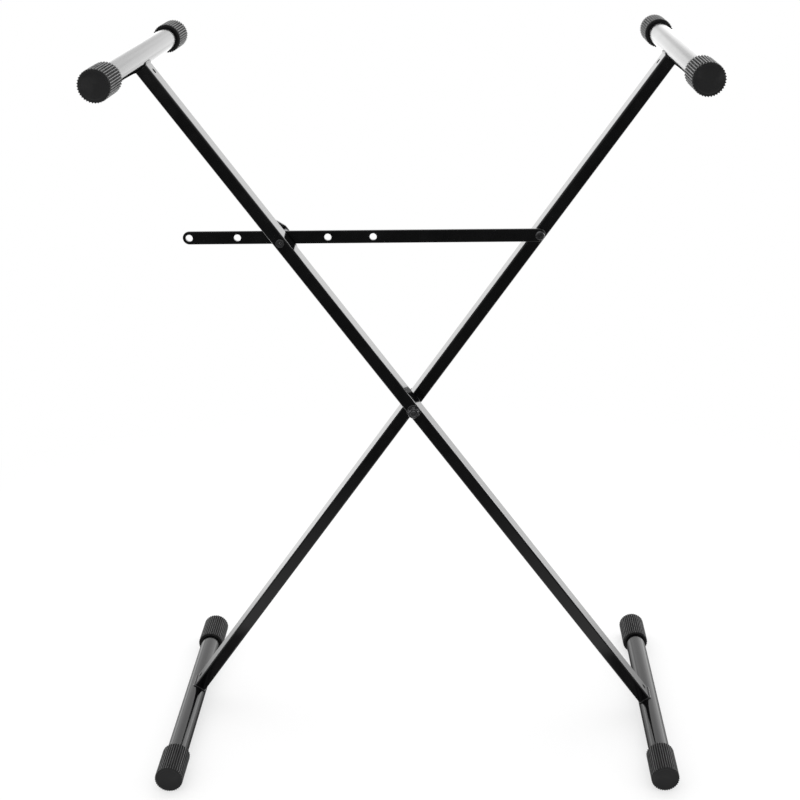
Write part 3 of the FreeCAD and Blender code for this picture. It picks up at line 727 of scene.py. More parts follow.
# ---- end caps
@dataclass
class EndCaps:
    """The eight ribbed caps, grown by one Geometry Nodes tree; lengths in millimetres.

    The rib ends are rows of (offset from the root radius, distance from the cap's end, share of
    the rib height), and the other edges rows of (offset in radius, distance or share of depth).
    """

    finishes: Finishes
    ribs: int = 36
    columns_per_rib: int = 10
    rib_height: float = 1.0
    root_radius: float = 15.5
    length: float = 50.0
    bore_radius: float = 12.55
    end_wall: float = 4.0
    dish_radius: float = 13.0
    dish_depth: float = 0.6
    dish_edge: tuple = ((-0.9, 1.0), (-0.35, 0.82), (0.0, 0.35), (0.35, 1.0 / 30.0), (0.8, 0.0))
    rim_flat: float = 0.5
    closed_rib_ends: tuple = ((-0.12, 0.0, 0.25), (0.0, 0.06, 0.62), (0.0, 0.2, 0.86),
                              (0.0, 0.45, 0.97), (0.0, 0.8, 1.0))
    wall_rows: int = 4
    open_rib_ends: tuple = ((0.0, 0.8, 1.0), (0.0, 0.35, 0.97), (0.0, 0.1, 0.86),
                            (-0.12, 0.0, 0.6))
    mouth_edge: tuple = ((0.5, 0.0), (0.15, 0.12), (0.0, 0.45))
    crest_start: float = -0.35
    crest_end: float = 0.75

    def tree(self) -> MeshGraph:
        """The tree: rolls a profile up into a cap and raises its ribs.

        Each point of the seed holds a profile station: its radius, its place along the axis and
        how much of the rib height it takes.
        """
        graph = MeshGraph("ribbed_cap", {
            "Columns": "Int", "Rows": "Int", "Ribs": "Int", "Rib Height": "Float",
            "Crest Start": "Float", "Crest End": "Float"})
        given = graph.given
        grid = graph.node("GeometryNodeMeshGrid", {}, {
            "Size X": 1.0, "Size Y": 1.0, "Vertices X": given["Columns"],
            "Vertices Y": given["Rows"]})
        place = graph.node("GeometryNodeInputPosition")
        here = graph.node("ShaderNodeSeparateXYZ", {}, {0: place[0]})
        row = graph.apply("ROUND", (here["Y"] + 0.5) * (given["Rows"] - 1.0))
        station = graph.node("GeometryNodeSampleIndex", {"data_type": "FLOAT_VECTOR"}, {
            "Geometry": given["Geometry"], "Value": place[0], "Index": row})
        profile = graph.node("ShaderNodeSeparateXYZ", {}, {0: station[0]})
        angle = (here["X"] + 0.5) * (2.0 * math.pi)
        ridge = graph.smooth(graph.apply("COSINE", angle * given["Ribs"]),
                             given["Crest Start"], given["Crest End"])
        crest = ridge * profile["Z"]
        radius = profile["X"] + crest * given["Rib Height"]
        rolled = graph.node("ShaderNodeCombineXYZ", {}, {
            "X": radius * graph.apply("SINE", angle), "Y": profile["Y"],
            "Z": radius * graph.apply("COSINE", angle)})
        marked = grid["Mesh"]
        # The crest share lightens the rubber as a painted highlight and the groove share darkens
        # it as painted shade; both also change its roughness.
        for mark, share in (("crest", crest), ("groove", profile["Z"] - crest)):
            marked = graph.node("GeometryNodeStoreNamedAttribute",
                                {"data_type": "FLOAT", "domain": "POINT"},
                                {"Geometry": marked, "Name": mark, "Value": share})[0]
        placed = graph.node("GeometryNodeSetPosition", {},
                            {"Geometry": marked, "Position": rolled[0]})
        welded = graph.node("GeometryNodeMergeByDistance", {},
                            {"Geometry": placed[0], "Distance": MERGE_DISTANCE})
        return graph.close(welded[0])

    def stations(self) -> list[tuple]:
        """The profile as (radius, along, share of the rib height), in millimetres."""
        end, root, dish, bore = -self.length, self.root_radius, self.dish_radius, self.bore_radius
        floor, bottom = end + self.dish_depth, end + self.end_wall
        first, last = self.closed_rib_ends[-1][1], self.open_rib_ends[0][1]
        run = (self.length - first - last) / (self.wall_rows + 1)
        return [
            (0.0, floor, 0.0), (dish / 2.0, floor, 0.0),
            *((dish + out, end + self.dish_depth * share, 0.0) for out, share in self.dish_edge),
            (root - self.rim_flat, end, 0.0),
            *((root + out, end + along, rib) for out, along, rib in self.closed_rib_ends),
            *((root, end + first + run * k, 1.0) for k in range(1, self.wall_rows + 1)),
            *((root + out, -along, rib) for out, along, rib in self.open_rib_ends),
            *((bore + out, -along, 0.0) for out, along in self.mouth_edge),
            (bore, bottom, 0.0), (bore / 2.0, bottom, 0.0), (0.0, bottom, 0.0)]

    def master(self, graph: MeshGraph, name: str) -> bpy.types.Mesh:
        """One cap along -Y with its open end at the origin, in metres."""
        seed = bpy.data.meshes.new(name + "_profile")
        stations = self.stations()
        seed.from_pydata([(r * MM, y * MM, share) for r, y, share in stations], [], [])
        return graph.grow(seed, self.finishes[Slot.CAP_RUBBER], {
            "Columns": self.ribs * self.columns_per_rib + 1, "Rows": len(stations),
            "Ribs": self.ribs, "Rib Height": self.rib_height * MM,
            "Crest Start": self.crest_start, "Crest End": self.crest_end})

    def build(self) -> None:
        """Grow and place the eight caps."""
        graph = self.tree()
        rows = (("upper", "left", Body.FRONT), ("upper", "right", Body.BACK),
                ("base", "left", Body.BACK), ("base", "right", Body.FRONT))
        for level, side, body in rows:
            upper = level == "upper"
            span = LAYOUT.upper_span if upper else LAYOUT.base_span
            height = LAYOUT.above_pivot if upper else -LAYOUT.below_pivot
            for end, facing in (("front", Facing.FRONT), ("rear", Facing.BACK)):
                node = "%s_cap_%s_%s" % (level, side, end)
                mesh = self.master(graph, node)
                mouth = facing.value * (span / 2.0 - self.length * MM)
                about = Matrix.Rotation(math.pi if facing is Facing.BACK else 0.0, 4, "Z")
                mesh.transform(LAYOUT.stand(body) @ Matrix.Translation((0.0, mouth, height))
                               @ about @ Matrix.Rotation(-LAYOUT.turn(body), 4, "Y"))
                add_piece("ribbed_" + node, closed(mesh, node), body, (node,))


# ---- welds
@dataclass
class Welds:
    """The beads round both ends of each leg, grown along their path."""

    finishes: Finishes
    stand_off: float = 0.25 * MM
    bead_radius: float = 1.25 * MM
    bead_sides: int = 12
    ripple_pitch: float = 1.7 * MM
    steps_per_ripple: float = 5.0
    ripple_height: float = 0.12 * MM
    wander: float = 0.25 * MM
    wander_per_metre: float = 240.0
    first_seed: float = 3.0
    seed_per_metre: float = 7.0
    corner_steps: int = 6

    def tree(self) -> MeshGraph:
        """The tree: sweeps a round bead along the seed's path and ripples it."""
        graph = MeshGraph("weld_bead", {label: "Float" for label in (
            "Bead Radius", "Ripple Pitch", "Ripple Height", "Wander", "Step", "Seed")})
        given = graph.given
        path = graph.node("GeometryNodeMeshToCurve", {}, {"Mesh": given["Geometry"]})
        even = graph.node("GeometryNodeResampleCurve", {"mode": "LENGTH"},
                          {"Curve": path[0], "Length": given["Step"]})
        run = graph.node("GeometryNodeSplineParameter")["Length"]
        marked = graph.node("GeometryNodeStoreNamedAttribute",
                            {"data_type": "FLOAT", "domain": "POINT"},
                            {"Geometry": even[0], "Name": "run", "Value": run})
        section = graph.node("GeometryNodeCurvePrimitiveCircle", {},
                             {"Resolution": self.bead_sides, "Radius": given["Bead Radius"]})
        swept = graph.node("GeometryNodeCurveToMesh", {},
                           {"Curve": marked[0], "Profile Curve": section["Curve"]})
        length = graph.node("GeometryNodeInputNamedAttribute", {"data_type": "FLOAT"},
                            {"Name": "run"})[0]
        wave = graph.apply("SINE", length / given["Ripple Pitch"] * math.pi)
        noise = graph.node("ShaderNodeTexNoise", {"noise_dimensions": "4D"}, {
            "Vector": graph.node("GeometryNodeInputPosition")[0], "W": given["Seed"],
            "Scale": self.wander_per_metre, "Detail": FEW_OCTAVES})["Fac"]
        lift = graph.apply("ABSOLUTE", wave) * given["Ripple Height"] \
            + (noise - 0.5) * given["Wander"]
        push = graph.node("ShaderNodeVectorMath", {"operation": "SCALE"},
                          {0: graph.node("GeometryNodeInputNormal")[0], "Scale": lift})
        rippled = graph.node("GeometryNodeSetPosition", {},
                             {"Geometry": swept[0], "Offset": push[0]})
        return graph.close(rippled[0])

    def path(self, y_mid: float, tube_height: float, towards: int) -> list[tuple]:
        """The saddle line where a leg meets a cross tube, as points in an upright frame.

        Args:
            y_mid: Y of the leg's middle.
            tube_height: Height of the tube's axis over the pivot.
            towards: The side of the tube that the leg meets, -1 below it and 1 above it.

        Returns:
            The points in order.
        """
        half_x = LAYOUT.leg_width / 2.0 + self.stand_off
        half_y = LAYOUT.leg_depth / 2.0 + self.stand_off
        corner = LAYOUT.leg_corner + self.stand_off
        reach = LAYOUT.tube_radius + self.stand_off
        points = []
        for quarter in range(4):
            across = half_x - corner if quarter in (0, 3) else corner - half_x
            along = half_y - corner if quarter in (0, 1) else corner - half_y
            for k in range(self.corner_steps + 1):
                angle = math.pi / 2.0 * (quarter + k / self.corner_steps)
                x = across + corner * math.cos(angle)
                points.append((x, y_mid + along + corner * math.sin(angle),
                               tube_height + towards * math.sqrt(reach ** 2 - x ** 2)))
        return points

    def seed(self, name: str, points: list[tuple], place: Matrix) -> bpy.types.Mesh:
        """A closed line through points."""
        mesh = bpy.data.meshes.new(name)
        count = len(points)
        mesh.from_pydata(points, [(k, (k + 1) % count) for k in range(count)], [])
        mesh.transform(place)
        return mesh

    def build(self) -> None:
        """Grow both beads of each leg as one piece."""
        graph = self.tree()
        coat = self.finishes[Slot.POWDER_COAT]
        y_mid = (LAYOUT.leg_gap + LAYOUT.leg_depth) / 2.0
        for name, body, y_leg in (("front_leg_welds", Body.FRONT, -y_mid),
                                  ("back_leg_welds", Body.BACK, y_mid)):
            beads = []
            for k, (height, towards) in enumerate(((LAYOUT.above_pivot, -1),
                                                   (-LAYOUT.below_pivot, 1))):
                seed = self.seed(name + "_path", self.path(y_leg, height, towards),
                                 LAYOUT.stand(body))
                beads.append(graph.grow(seed, coat, {
                    "Bead Radius": self.bead_radius, "Ripple Pitch": self.ripple_pitch,
                    "Ripple Height": self.ripple_height, "Wander": self.wander,
                    "Step": self.ripple_pitch / self.steps_per_ripple,
                    "Seed": self.first_seed + k + self.seed_per_metre * y_leg}))
            mesh = closed(joined(name, beads, coat), name)
            add_piece("beaded_" + name, mesh, body, (name,))


# ---- wound wire
@dataclass
class WoundWire:
    """Anything wound from wire or cut as a thread, grown by one Geometry Nodes tree."""

    finishes: Finishes

    def __post_init__(self) -> None:
        """Make the tree once."""
        self.graph = self.tree()

    def tree(self) -> MeshGraph:
        """The tree: a helix about Z, swept by a round or few-sided section."""
        graph = MeshGraph("wound_wire", {
            "Turns": "Float", "Radius": "Float", "Rise": "Float", "Wire Radius": "Float",
            "Steps": "Int", "Wire Sides": "Int"})
        given = graph.given
        helix = graph.node("GeometryNodeCurveSpiral", {}, {
            "Resolution": given["Steps"], "Rotations": given["Turns"],
            "Start Radius": given["Radius"], "End Radius": given["Radius"],
            "Height": given["Rise"] * given["Turns"]})
        section = graph.node("GeometryNodeCurvePrimitiveCircle", {}, {
            "Resolution": given["Wire Sides"], "Radius": given["Wire Radius"]})
        swept = graph.node("GeometryNodeCurveToMesh", {}, {
            "Curve": helix[0], "Profile Curve": section["Curve"], "Fill Caps": True})
        return graph.close(swept[0])

    def mesh(self, name: str, slot: Slot, place: Matrix, sizes: dict) -> bpy.types.Mesh:
        """Grow one helix that starts at the origin and runs along +Y, then place it.

        Args:
            name: The mesh's name.
            slot: The slot of its finish.
            place: Where it goes.
            sizes: The tree's inputs, lengths in metres.

        Returns:
            A closed mesh.
        """
        seed = bpy.data.meshes.new(name + "_seed")
        mesh = self.graph.grow(seed, self.finishes[slot], sizes)
        mesh.transform(place @ Matrix.Rotation(-math.pi / 2.0, 4, "X"))
        return closed(mesh, name)


# ---- bolts, nuts and washers
@dataclass(frozen=True)
class BoltSizes:
    """One bolt with its lock nut and washer, in millimetres."""

    diameter: float
    pitch: float
    head_diameter: float
    head_height: float
    head_round: float
    socket_flats: float
    socket_depth: float
    nut_flats: float
    nut_height: float
    collar_diameter: float
    collar_height: float
    past_nut: float
    washer_diameter: float
    washer_thickness: float


PIVOT_BOLT = BoltSizes(
    diameter=8.0, pitch=1.25, head_diameter=14.0, head_height=4.4, head_round=2.4,
    socket_flats=5.0, socket_depth=2.6, nut_flats=13.0, nut_height=5.5, collar_diameter=11.0,
    collar_height=2.0, past_nut=0.8, washer_diameter=16.0, washer_thickness=1.5)
STRAP_BOLT = BoltSizes(
    diameter=6.0, pitch=1.0, head_diameter=10.5, head_height=3.3, head_round=1.8,
    socket_flats=4.0, socket_depth=2.1, nut_flats=10.0, nut_height=4.2, collar_diameter=8.6,
    collar_height=1.8, past_nut=0.8, washer_diameter=13.5, washer_thickness=1.0)


@dataclass(frozen=True)
class Breaks:
    """The small bevels and shares that all bolts, nuts and washers have, in millimetres.

    Pairs are (inwards or outwards in radius, along the axis).
    """

    socket_floor_share: float = 0.3
    socket_rise: float = 0.1
    socket_bevel: float = 0.3
    mouth_share: float = 0.62
    mouth_flare: float = 1.12
    mouth_land: float = 0.25
    head_arc: tuple = (82.0, 0.0, 7)
    head_seat: tuple = (0.2, 0.25)
    thread_share: float = 0.12
    end_run: float = 0.8
    end_bevel: tuple = (0.1, 0.12)
    dimple: tuple = ((0.55, 0.0), (0.3, 0.25), (0.0, 0.35))
    thread_turns: float = 3.0
    thread_start: float = 0.9
    thread_sink: float = 0.22
    thread_wire_share: float = 0.2
    thread_steps: int = 40
    thread_sides: int = 4
    nut_seat: tuple = (0.1, 0.55)
    nut_chamfer: float = 0.75
    nut_shoulder: tuple = (0.05, 0.02)
    collar_foot: tuple = ((0.25, 0.0), (0.02, 0.25))
    collar_round: float = 0.6
    collar_arc: tuple = (0.0, 110.0, 5)
    lock_ring: tuple = (1.15, 0.35)
    lock_lip: tuple = (0.35, 0.45)
    lock_depth: float = 0.7
    washer_clearance: float = 0.05
    washer_edge: float = 0.35
    washer_bevel: float = 0.15
    spacer_bevel: float = 0.3


@dataclass
class Fasteners:
    """The centre pivot's and the strap's bolts, nuts and washers, in millimetres."""

    finishes: Finishes
    wire: WoundWire
    pivot: BoltSizes = PIVOT_BOLT
    strap: BoltSizes = STRAP_BOLT
    breaks: Breaks = Breaks()
    slide_gap: float = 0.1
    half_strap: float = 1.5

    def head(self, sizes: BoltSizes) -> list[Station]:
        """The bolt from its socket's floor out over the round head to the shank's start."""
        small, top, flats = self.breaks, sizes.head_height, sizes.socket_flats
        wide, big, bend = sizes.head_diameter / 2.0, sizes.head_diameter, sizes.head_round
        floor, mouth = top - sizes.socket_depth, flats * small.mouth_share
        return [Station(0.0, floor), Station(flats * small.socket_floor_share, floor),
                Station(big, floor + small.socket_rise, flats),
                Station(big, top - small.socket_bevel, flats),
                Station(mouth, top, flats * small.mouth_flare),
                Station(mouth + small.mouth_land, top),
                *arc(wide - bend, top - bend, bend, *small.head_arc),
                Station(wide, small.head_seat[1]), Station(wide - small.head_seat[0], 0.0),
                Station(sizes.diameter / 2.0, 0.0)]

    def shank(self, sizes: BoltSizes, length: float) -> list[Station]:
        """The bolt's shank down to its chamfered and dimpled end."""
        small, radius = self.breaks, sizes.diameter / 2.0
        core = radius - small.thread_share * sizes.diameter
        bevel, rise = small.end_bevel
        return [Station(radius, -length + small.end_run), Station(core + bevel, -length + rise),
                Station(core - bevel, -length),
                *(Station(core * share, -length + depth) for share, depth in small.dimple)]

    def nut(self, sizes: BoltSizes) -> list[Station]:
        """The lock nut: chamfered hexagon, round collar and the ring inside it."""
        small, flats, height = self.breaks, sizes.nut_flats, sizes.nut_height
        corner, inner, bore = flats / math.sqrt(3.0), flats / 2.0, sizes.diameter / 2.0
        collar, bend = sizes.collar_diameter / 2.0, small.collar_round
        top = height + sizes.collar_height
        return [Station(bore, 0.0), Station(inner - small.nut_seat[0], 0.0),
                Station(corner, small.nut_seat[1], flats),
                Station(corner, height - small.nut_chamfer, flats),
                Station(inner - small.nut_shoulder[0], height - small.nut_shoulder[1], flats),
                *(Station(collar + out, height + rise) for out, rise in small.collar_foot),
                *arc(collar - bend, top - bend, bend, *small.collar_arc),
                Station(collar - small.lock_ring[0], top - small.lock_ring[1]),
                Station(bore + small.lock_lip[0], top - small.lock_lip[1]),
                Station(bore, top - small.lock_depth)]

    def washer(self, sizes: BoltSizes) -> list[Station]:
        """A washer with a rolled outer edge."""
        small, thick, outer = self.breaks, sizes.washer_thickness, sizes.washer_diameter / 2.0
        bore = sizes.diameter / 2.0 + small.washer_clearance
        edge = min(small.washer_edge, thick / 3.0)
        return [Station(bore, 0.0), Station(outer - edge, 0.0),
                *arc(outer - edge, edge, edge, -90.0, 0.0, 3)[1:],
                *arc(outer - edge, thick - edge, edge, 0.0, 90.0, 3),
                Station(bore + small.washer_bevel, thick),
                Station(bore, thick - small.washer_bevel)]

    def spacer(self, sizes: BoltSizes, thick: float) -> list[Station]:
        """A thicker washer with bevelled edges."""
        small, outer = self.breaks, sizes.washer_diameter / 2.0
        bore, bevel = sizes.diameter / 2.0 + small.washer_clearance, small.spacer_bevel
        return [Station(bore, 0.0), Station(outer - bevel, 0.0), Station(outer, bevel),
                Station(outer, thick - bevel), Station(outer - bevel, thick),
                Station(bore, thick)]

    def place(self, body: Body, y: float, up: float, facing: Facing) -> Matrix:
        """Where a piece goes that starts at y and points to the front or the back."""
        about = Matrix.Rotation(math.pi if facing is Facing.FRONT else 0.0, 4, "Z")
        return LAYOUT.stand(body) @ Matrix.Translation((0.0, y * MM, up)) @ about

    def bolt(self, name: str, sizes: BoltSizes, grip: float, place: Matrix) -> bpy.types.Mesh:
        """A bolt with thread turns at its end.

        Args:
            name: The mesh's name.
            sizes: The bolt's sizes.
            grip: Its length under the head, in millimetres.
            place: Where it goes.

        Returns:
            The bolt and its thread as one mesh.
        """
        small, metal = self.breaks, self.finishes[Slot.HARDWARE]
        body = Turned(self.head(sizes) + self.shank(sizes, grip)).mesh(name, place, metal)
        start = Matrix.Translation((0.0, (-grip + small.thread_start) * MM, 0.0))
        thread = self.wire.mesh(name + "_thread", Slot.HARDWARE, place @ start, {
            "Turns": small.thread_turns,
            "Radius": (sizes.diameter / 2.0 - small.thread_sink) * MM,
            "Rise": sizes.pitch * MM, "Wire Radius": small.thread_wire_share * sizes.pitch * MM,
            "Steps": small.thread_steps, "Wire Sides": small.thread_sides})
        return joined(name, [body, thread], metal)

    def add(self, name: str, mesh: bpy.types.Mesh, body: Body, node: str) -> None:
        """Add a piece of hardware in the place of one CAD node."""
        add_piece(name, mesh, body, (node,))

    def add_turned(self, name: str, node: str, body: Body, parts: list[tuple]) -> None:
        """Add looped turned parts as one piece; each part is (stations, place)."""
        metal = self.finishes[Slot.HARDWARE]
        made = [Turned(stations, looped=True).mesh(node + "_part", place, metal)
                for stations, place in parts]
        self.add(name, closed(joined(node, made, metal), node), body, node)

    def build_pivot(self) -> None:
        """The bolt through both legs, its nut at the front."""
        sizes, body = self.pivot, Body.FRONT
        front, back_seat = LAYOUT.front_face / MM, -LAYOUT.front_face / MM + self.slide_gap
        front_seat = front - sizes.washer_thickness
        head_seat = back_seat + sizes.washer_thickness
        end = front_seat - sizes.nut_height - sizes.collar_height - sizes.past_nut
        self.add("pivot_bolt_socket_head",
                 self.bolt("pivot_bolt_turned", sizes, head_seat - end,
                           self.place(body, head_seat, 0.0, Facing.BACK)), body, "pivot_bolt")
        self.add_turned("pivot_lock_nut", "pivot_nut", body, [
            (self.nut(sizes), self.place(body, front_seat, 0.0, Facing.FRONT))])
        self.add_turned("rolled_pivot_washers", "pivot_washers", body, [
            (self.washer(sizes), self.place(body, front, 0.0, Facing.FRONT)),
            (self.washer(sizes), self.place(body, back_seat, 0.0, Facing.BACK))])

    def build_strap(self) -> None:
        """The bolt that hangs the strap on the back leg, its nut behind the leg."""
        sizes, body, up = self.strap, Body.BACK, LAYOUT.strap_pivot_up
        back, gap_back = -LAYOUT.front_face / MM, LAYOUT.leg_gap / 2.0 / MM
        near = self.half_strap + self.slide_gap
        nut_seat = back + sizes.washer_thickness
        end = nut_seat + sizes.nut_height + sizes.collar_height + sizes.past_nut
        self.add("strap_bolt_socket_head",
                 self.bolt("strap_bolt_turned", sizes, end + near,
                           self.place(body, -near, up, Facing.FRONT)), body, "strap_bolt")
        self.add_turned("strap_lock_nut", "strap_nut", body, [
            (self.nut(sizes), self.place(body, nut_seat, up, Facing.BACK))])
        self.add_turned("rolled_strap_washers", "strap_washers", body, [
            (self.washer(sizes), self.place(body, back, up, Facing.BACK)),
            (self.spacer(sizes, gap_back - near), self.place(body, near, up, Facing.BACK))])

    def build(self) -> None:
        """Build every fastener."""
        self.build_pivot()
        self.build_strap()


# ---- latch
@dataclass
class Latch:
    """The sprung pin behind the front leg: its spring and the split ring, in millimetres."""

    finishes: Finishes
    wire: WoundWire
    wire_sides: int = 12
    spring_front: float = 9.0
    spring_back: float = 24.0
    spring_radius: float = 3.85
    spring_wire: float = 0.45
    spring_turns: float = 5.0
    spring_steps: int = 36
    stroke: float = 8.0
    ring_radius: float = 10.0
    ring_wire: float = 0.5
    ring_y: float = 26.9
    ring_turns: float = 2.0
    ring_steps: int = 64

    def at_pin(self, y: float, drop: float = 0.0) -> Vector:
        """A point on the pin's axis, or some way below it, in metres."""
        up = LAYOUT.strap_pivot_up
        return Vector((-up * math.sin(LAYOUT.lean), y * MM,
                       LAYOUT.pivot_height + up * math.cos(LAYOUT.lean) - drop * MM))

    def build_spring(self) -> None:
        """The spring, built at rest; on the stand it is pressed together as the pin is pulled."""
        length = self.spring_back - self.spring_front
        room = length - 2.0 * self.spring_wire
        start = self.at_pin(self.spring_front + self.spring_wire)
        mesh = self.wire.mesh("spring_wound", Slot.STEEL, Matrix.Translation(start), {
            "Turns": self.spring_turns, "Radius": self.spring_radius * MM,
            "Rise": room / self.spring_turns * MM, "Wire Radius": self.spring_wire * MM,
            "Steps": self.spring_steps, "Wire Sides": self.wire_sides})
        piece = add_piece("wound_latch_spring", mesh, Body.FRONT, ("latch_spring",))
        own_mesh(piece)

    def build_ring(self) -> None:
        """The split ring through the pin's tail, two turns of wire."""
        centre = self.at_pin(self.ring_y - self.ring_wire, self.ring_radius)
        mesh = self.wire.mesh("ring_wound", Slot.STEEL, Matrix.Translation(centre), {
            "Turns": self.ring_turns, "Radius": self.ring_radius * MM,
            "Rise": self.ring_wire * MM, "Wire Radius": self.ring_wire * MM,
            "Steps": self.ring_steps, "Wire Sides": self.wire_sides})
        add_piece("split_pull_ring", mesh, Body.RING, ("pull_ring",))

    def build(self) -> None:
        """Build the latch's wound pieces."""
        self.build_spring()
        self.build_ring()


# ---- studio
@dataclass(frozen=True)
class Camera:
    """The camera at the photograph's angle; pixel values are for a square picture."""

    picture: float = 800.0
    focal: float = 1410.29
    centre_x: float = 435.583
    centre_y: float = 397.444
    x: float = 56.449 * MM
    y: float = -1557.709 * MM
    over_pivot: float = 612.250 * MM
    yaw: float = -0.0200
    pitch: float = 0.3710
    roll: float = -0.0138
    sensor: float = 36.0
    clip: tuple = (0.05, 60.0)

    def build(self) -> None:
        """Make the camera and set it as the scene's own."""
        data = bpy.data.cameras.new("photo_camera")
        data.sensor_width = self.sensor
        data.lens = self.focal / self.picture * self.sensor
        data.shift_x = (self.picture / 2.0 - self.centre_x) / self.picture
        data.shift_y = (self.centre_y - self.picture / 2.0) / self.picture
        data.clip_start, data.clip_end = self.clip
        data.dof.use_dof = False
        flat = math.cos(self.pitch)
        ahead = Vector((math.sin(self.yaw) * flat, math.cos(self.yaw) * flat,
                        -math.sin(self.pitch)))
        level = Vector((math.cos(self.yaw), -math.sin(self.yaw), 0.0))
        upright = level.cross(ahead)
        right = level * math.cos(self.roll) + upright * math.sin(self.roll)
        up = upright * math.cos(self.roll) - level * math.sin(self.roll)
        turn = Matrix((right, up, -ahead)).transposed().to_4x4()
        place = Vector((self.x, self.y, self.over_pivot + LAYOUT.pivot_height))
        camera = bpy.data.objects.new("photo_camera", data)
        camera.matrix_world = Matrix.Translation(place) @ turn
        bpy.context.scene.collection.objects.link(camera)
        bpy.context.scene.camera = camera


@dataclass(frozen=True)
class Floor:
    """The white floor, which fades into the backdrop away from the stand.

    Polished steel sees it as in a photographer's room: bright behind the stand, ever darker
    towards the camera and dark close beside the base tubes, where that darkness is a painted
    shadow.  Tuples are the limits of a smooth step in metres, with its amount where there are
    three.
    """

    half: float = 6.0
    paint: tuple = ((0.90, 0.90, 0.90), (0.93, 0.93, 0.93))
    paint_per_metre: float = 3.0
    fade: tuple = (0.55, 1.1)
    lift: float = 0.62
    low_glow: float = 0.07
    front_glow: tuple = (-0.85, 0.05, 0.75)
    back_glow: tuple = (0.05, 0.75, 0.95)
    # painted shadow: where the mirrored glow is dimmed beside each base tube
    painted_shadow_across: tuple = (0.025, 0.07, 0.85)
    painted_shadow_start: tuple = (-0.2, -0.17)
    painted_shadow_end: tuple = (0.26, 0.34)

    def material(self) -> bpy.types.Material:
        """Matte paint, with another brightness for mirrored rays that holds a painted shadow
        beside the base tubes.
        """
        graph = ShaderGraph("floor_white")
        spot = graph.node("ShaderNodeSeparateXYZ", {}, {0: graph.place})
        x, y = spot["X"], spot["Y"]
        away = graph.apply("SQRT", x * x + y * y)
        paint = graph.blend(graph.noise(self.paint_per_metre, SOME_OCTAVES), *self.paint)
        near = graph.node("ShaderNodeBsdfDiffuse", {}, {"Color": paint})
        far = graph.node("ShaderNodeEmission", {}, {"Strength": 1.0})
        fade = self.lift + graph.smooth(away, *self.fade, 1.0 - self.lift)
        faded = graph.node("ShaderNodeMixShader", {}, {0: fade, 1: near[0], 2: far[0]})
        # painted shadow: the mirrored glow is dimmed in a strip along each base tube
        off_tube = graph.apply("ABSOLUTE", graph.apply("ABSOLUTE", x) - LAYOUT.rest_hole)
        painted_shadow = graph.fade(off_tube, *self.painted_shadow_across) \
            * graph.smooth(y, *self.painted_shadow_start) * graph.fade(y, *self.painted_shadow_end)
        glow = graph.smooth(y, *self.front_glow) + graph.smooth(y, *self.back_glow)
        mirrored = graph.node("ShaderNodeEmission", {},
                              {"Strength": (glow + self.low_glow) * (1.0 - painted_shadow)})
        glossy = graph.node("ShaderNodeLightPath")["Is Glossy Ray"]
        both = graph.node("ShaderNodeMixShader", {}, {0: glossy, 1: faded[0], 2: mirrored[0]})
        graph.node("ShaderNodeOutputMaterial", {}, {"Surface": both[0]})
        return graph.material

    def build(self) -> None:
        """Lay the floor."""
        half = self.half
        corners = [(-half, -half, 0.0), (half, -half, 0.0), (half, half, 0.0), (-half, half, 0.0)]
        mesh = bpy.data.meshes.new("floor")
        mesh.from_pydata(corners, [], [(0, 1, 2, 3)])
        mesh.materials.append(self.material())
        floor = bpy.data.objects.new("floor", mesh)
        bpy.context.scene.collection.objects.link(floor)


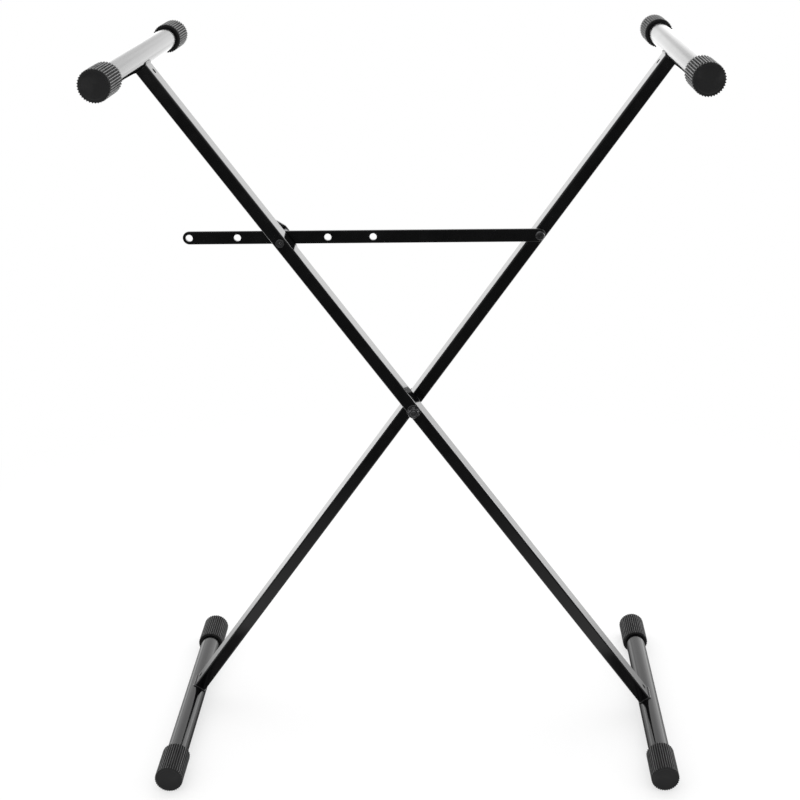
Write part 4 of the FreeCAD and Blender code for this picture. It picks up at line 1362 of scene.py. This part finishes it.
@dataclass(frozen=True)
class Room:
    """The soft white light round the stand, by direction: plain white for the camera.

    Polished surfaces see a bright backdrop, a dim room in front and two bright panels at the
    sides of the backdrop.  Tuples are the limits of a smooth step along one axis of the
    direction, with its amount where there are three.
    """

    behind: tuple = (-0.25, 0.35)
    above: tuple = (0.2, 0.8)
    backdrop_glow: float = 2.2
    backdrop_left_dim: tuple = (-0.42, 0.02, 0.2)
    band_height: float = 0.215
    band_dim: tuple = (0.03, 0.1, 0.34)
    band_right_loss: tuple = (-0.05, 0.1, 0.65)
    overhead_glow: float = 1.1
    front_glow: float = 0.2
    front_floor_share: float = 0.45
    left_of_front: tuple = (-0.35, 0.3, 0.75)
    horizon_glow: float = 0.5
    horizon: tuple = (0.02, 0.16)
    horizon_floor_share: float = 0.25
    panel_glow: float = 8.0
    panel_across: tuple = (0.48, 0.6)
    panel_start: tuple = (0.3, 0.5)
    panel_end: tuple = (0.7, 0.78)
    panel_bottom: tuple = (-0.02, 0.04)
    panel_top: tuple = (0.25, 0.4)
    matte_glow: float = 0.65
    matte_behind: float = 0.85
    matte_above: float = 0.25

    def build(self) -> None:
        """Set up the world."""
        world = bpy.data.worlds.new("studio")
        world.use_nodes = True
        world.node_tree.nodes.clear()
        bpy.context.scene.world = world
        graph = Graph(world.node_tree)
        way = graph.node("ShaderNodeSeparateXYZ", {},
                         {0: graph.node("ShaderNodeTexCoord")["Generated"]})
        x, y, z = way["X"], way["Y"], way["Z"]
        behind, above = graph.smooth(y, *self.behind), graph.smooth(z, *self.above)
        left = graph.fade(x, *self.left_of_front)
        front = self.front_glow * (self.front_floor_share + left)
        band = graph.fade(graph.apply("ABSOLUTE", z - self.band_height), *self.band_dim) \
            * (1.0 - graph.smooth(x, *self.band_right_loss))
        backdrop = self.backdrop_glow * (1.0 - graph.fade(x, *self.backdrop_left_dim)) \
            * (1.0 - band)
        skyline = graph.fade(graph.apply("ABSOLUTE", z), *self.horizon) * (1.0 - behind)
        level = front + (backdrop - front) * behind \
            + skyline * self.horizon_glow * (self.horizon_floor_share + left)
        panel = graph.smooth(graph.apply("ABSOLUTE", x), *self.panel_across) \
            * graph.smooth(y, *self.panel_start) * graph.fade(y, *self.panel_end) \
            * graph.smooth(z, *self.panel_bottom) * graph.fade(z, *self.panel_top)
        glow = level + (self.overhead_glow - level) * above + panel * self.panel_glow
        even = self.matte_glow + self.matte_behind * behind + self.matte_above * above
        shiny, room, plain = (graph.node("ShaderNodeBackground", {},
                                         {"Color": WHITE, "Strength": strength})
                              for strength in (glow, even, 1.0))
        path = graph.node("ShaderNodeLightPath")
        lit = graph.node("ShaderNodeMixShader", {},
                         {0: path["Is Glossy Ray"], 1: room[0], 2: shiny[0]})
        seen = graph.node("ShaderNodeMixShader", {},
                          {0: path["Is Camera Ray"], 1: lit[0], 2: plain[0]})
        graph.node("ShaderNodeOutputWorld", {}, {"Surface": seen[0]})


def main() -> None:
    """Build every sub-assembly in order, then the studio."""
    logging.basicConfig(level=logging.INFO, format="%(name)s: %(message)s")
    finishes = Finishes()
    finishes.dress_frame()
    wire = WoundWire(finishes)
    EndCaps(finishes).build()
    Welds(finishes).build()
    Fasteners(finishes, wire).build()
    Latch(finishes, wire).build()
    bpy.context.scene.view_settings.view_transform = "Standard"
    for part in (Floor(), Room(), Camera()):
        part.build()
        LOG.info("%s is set up", type(part).__name__.lower())


if __name__ == "__main__":
    main()
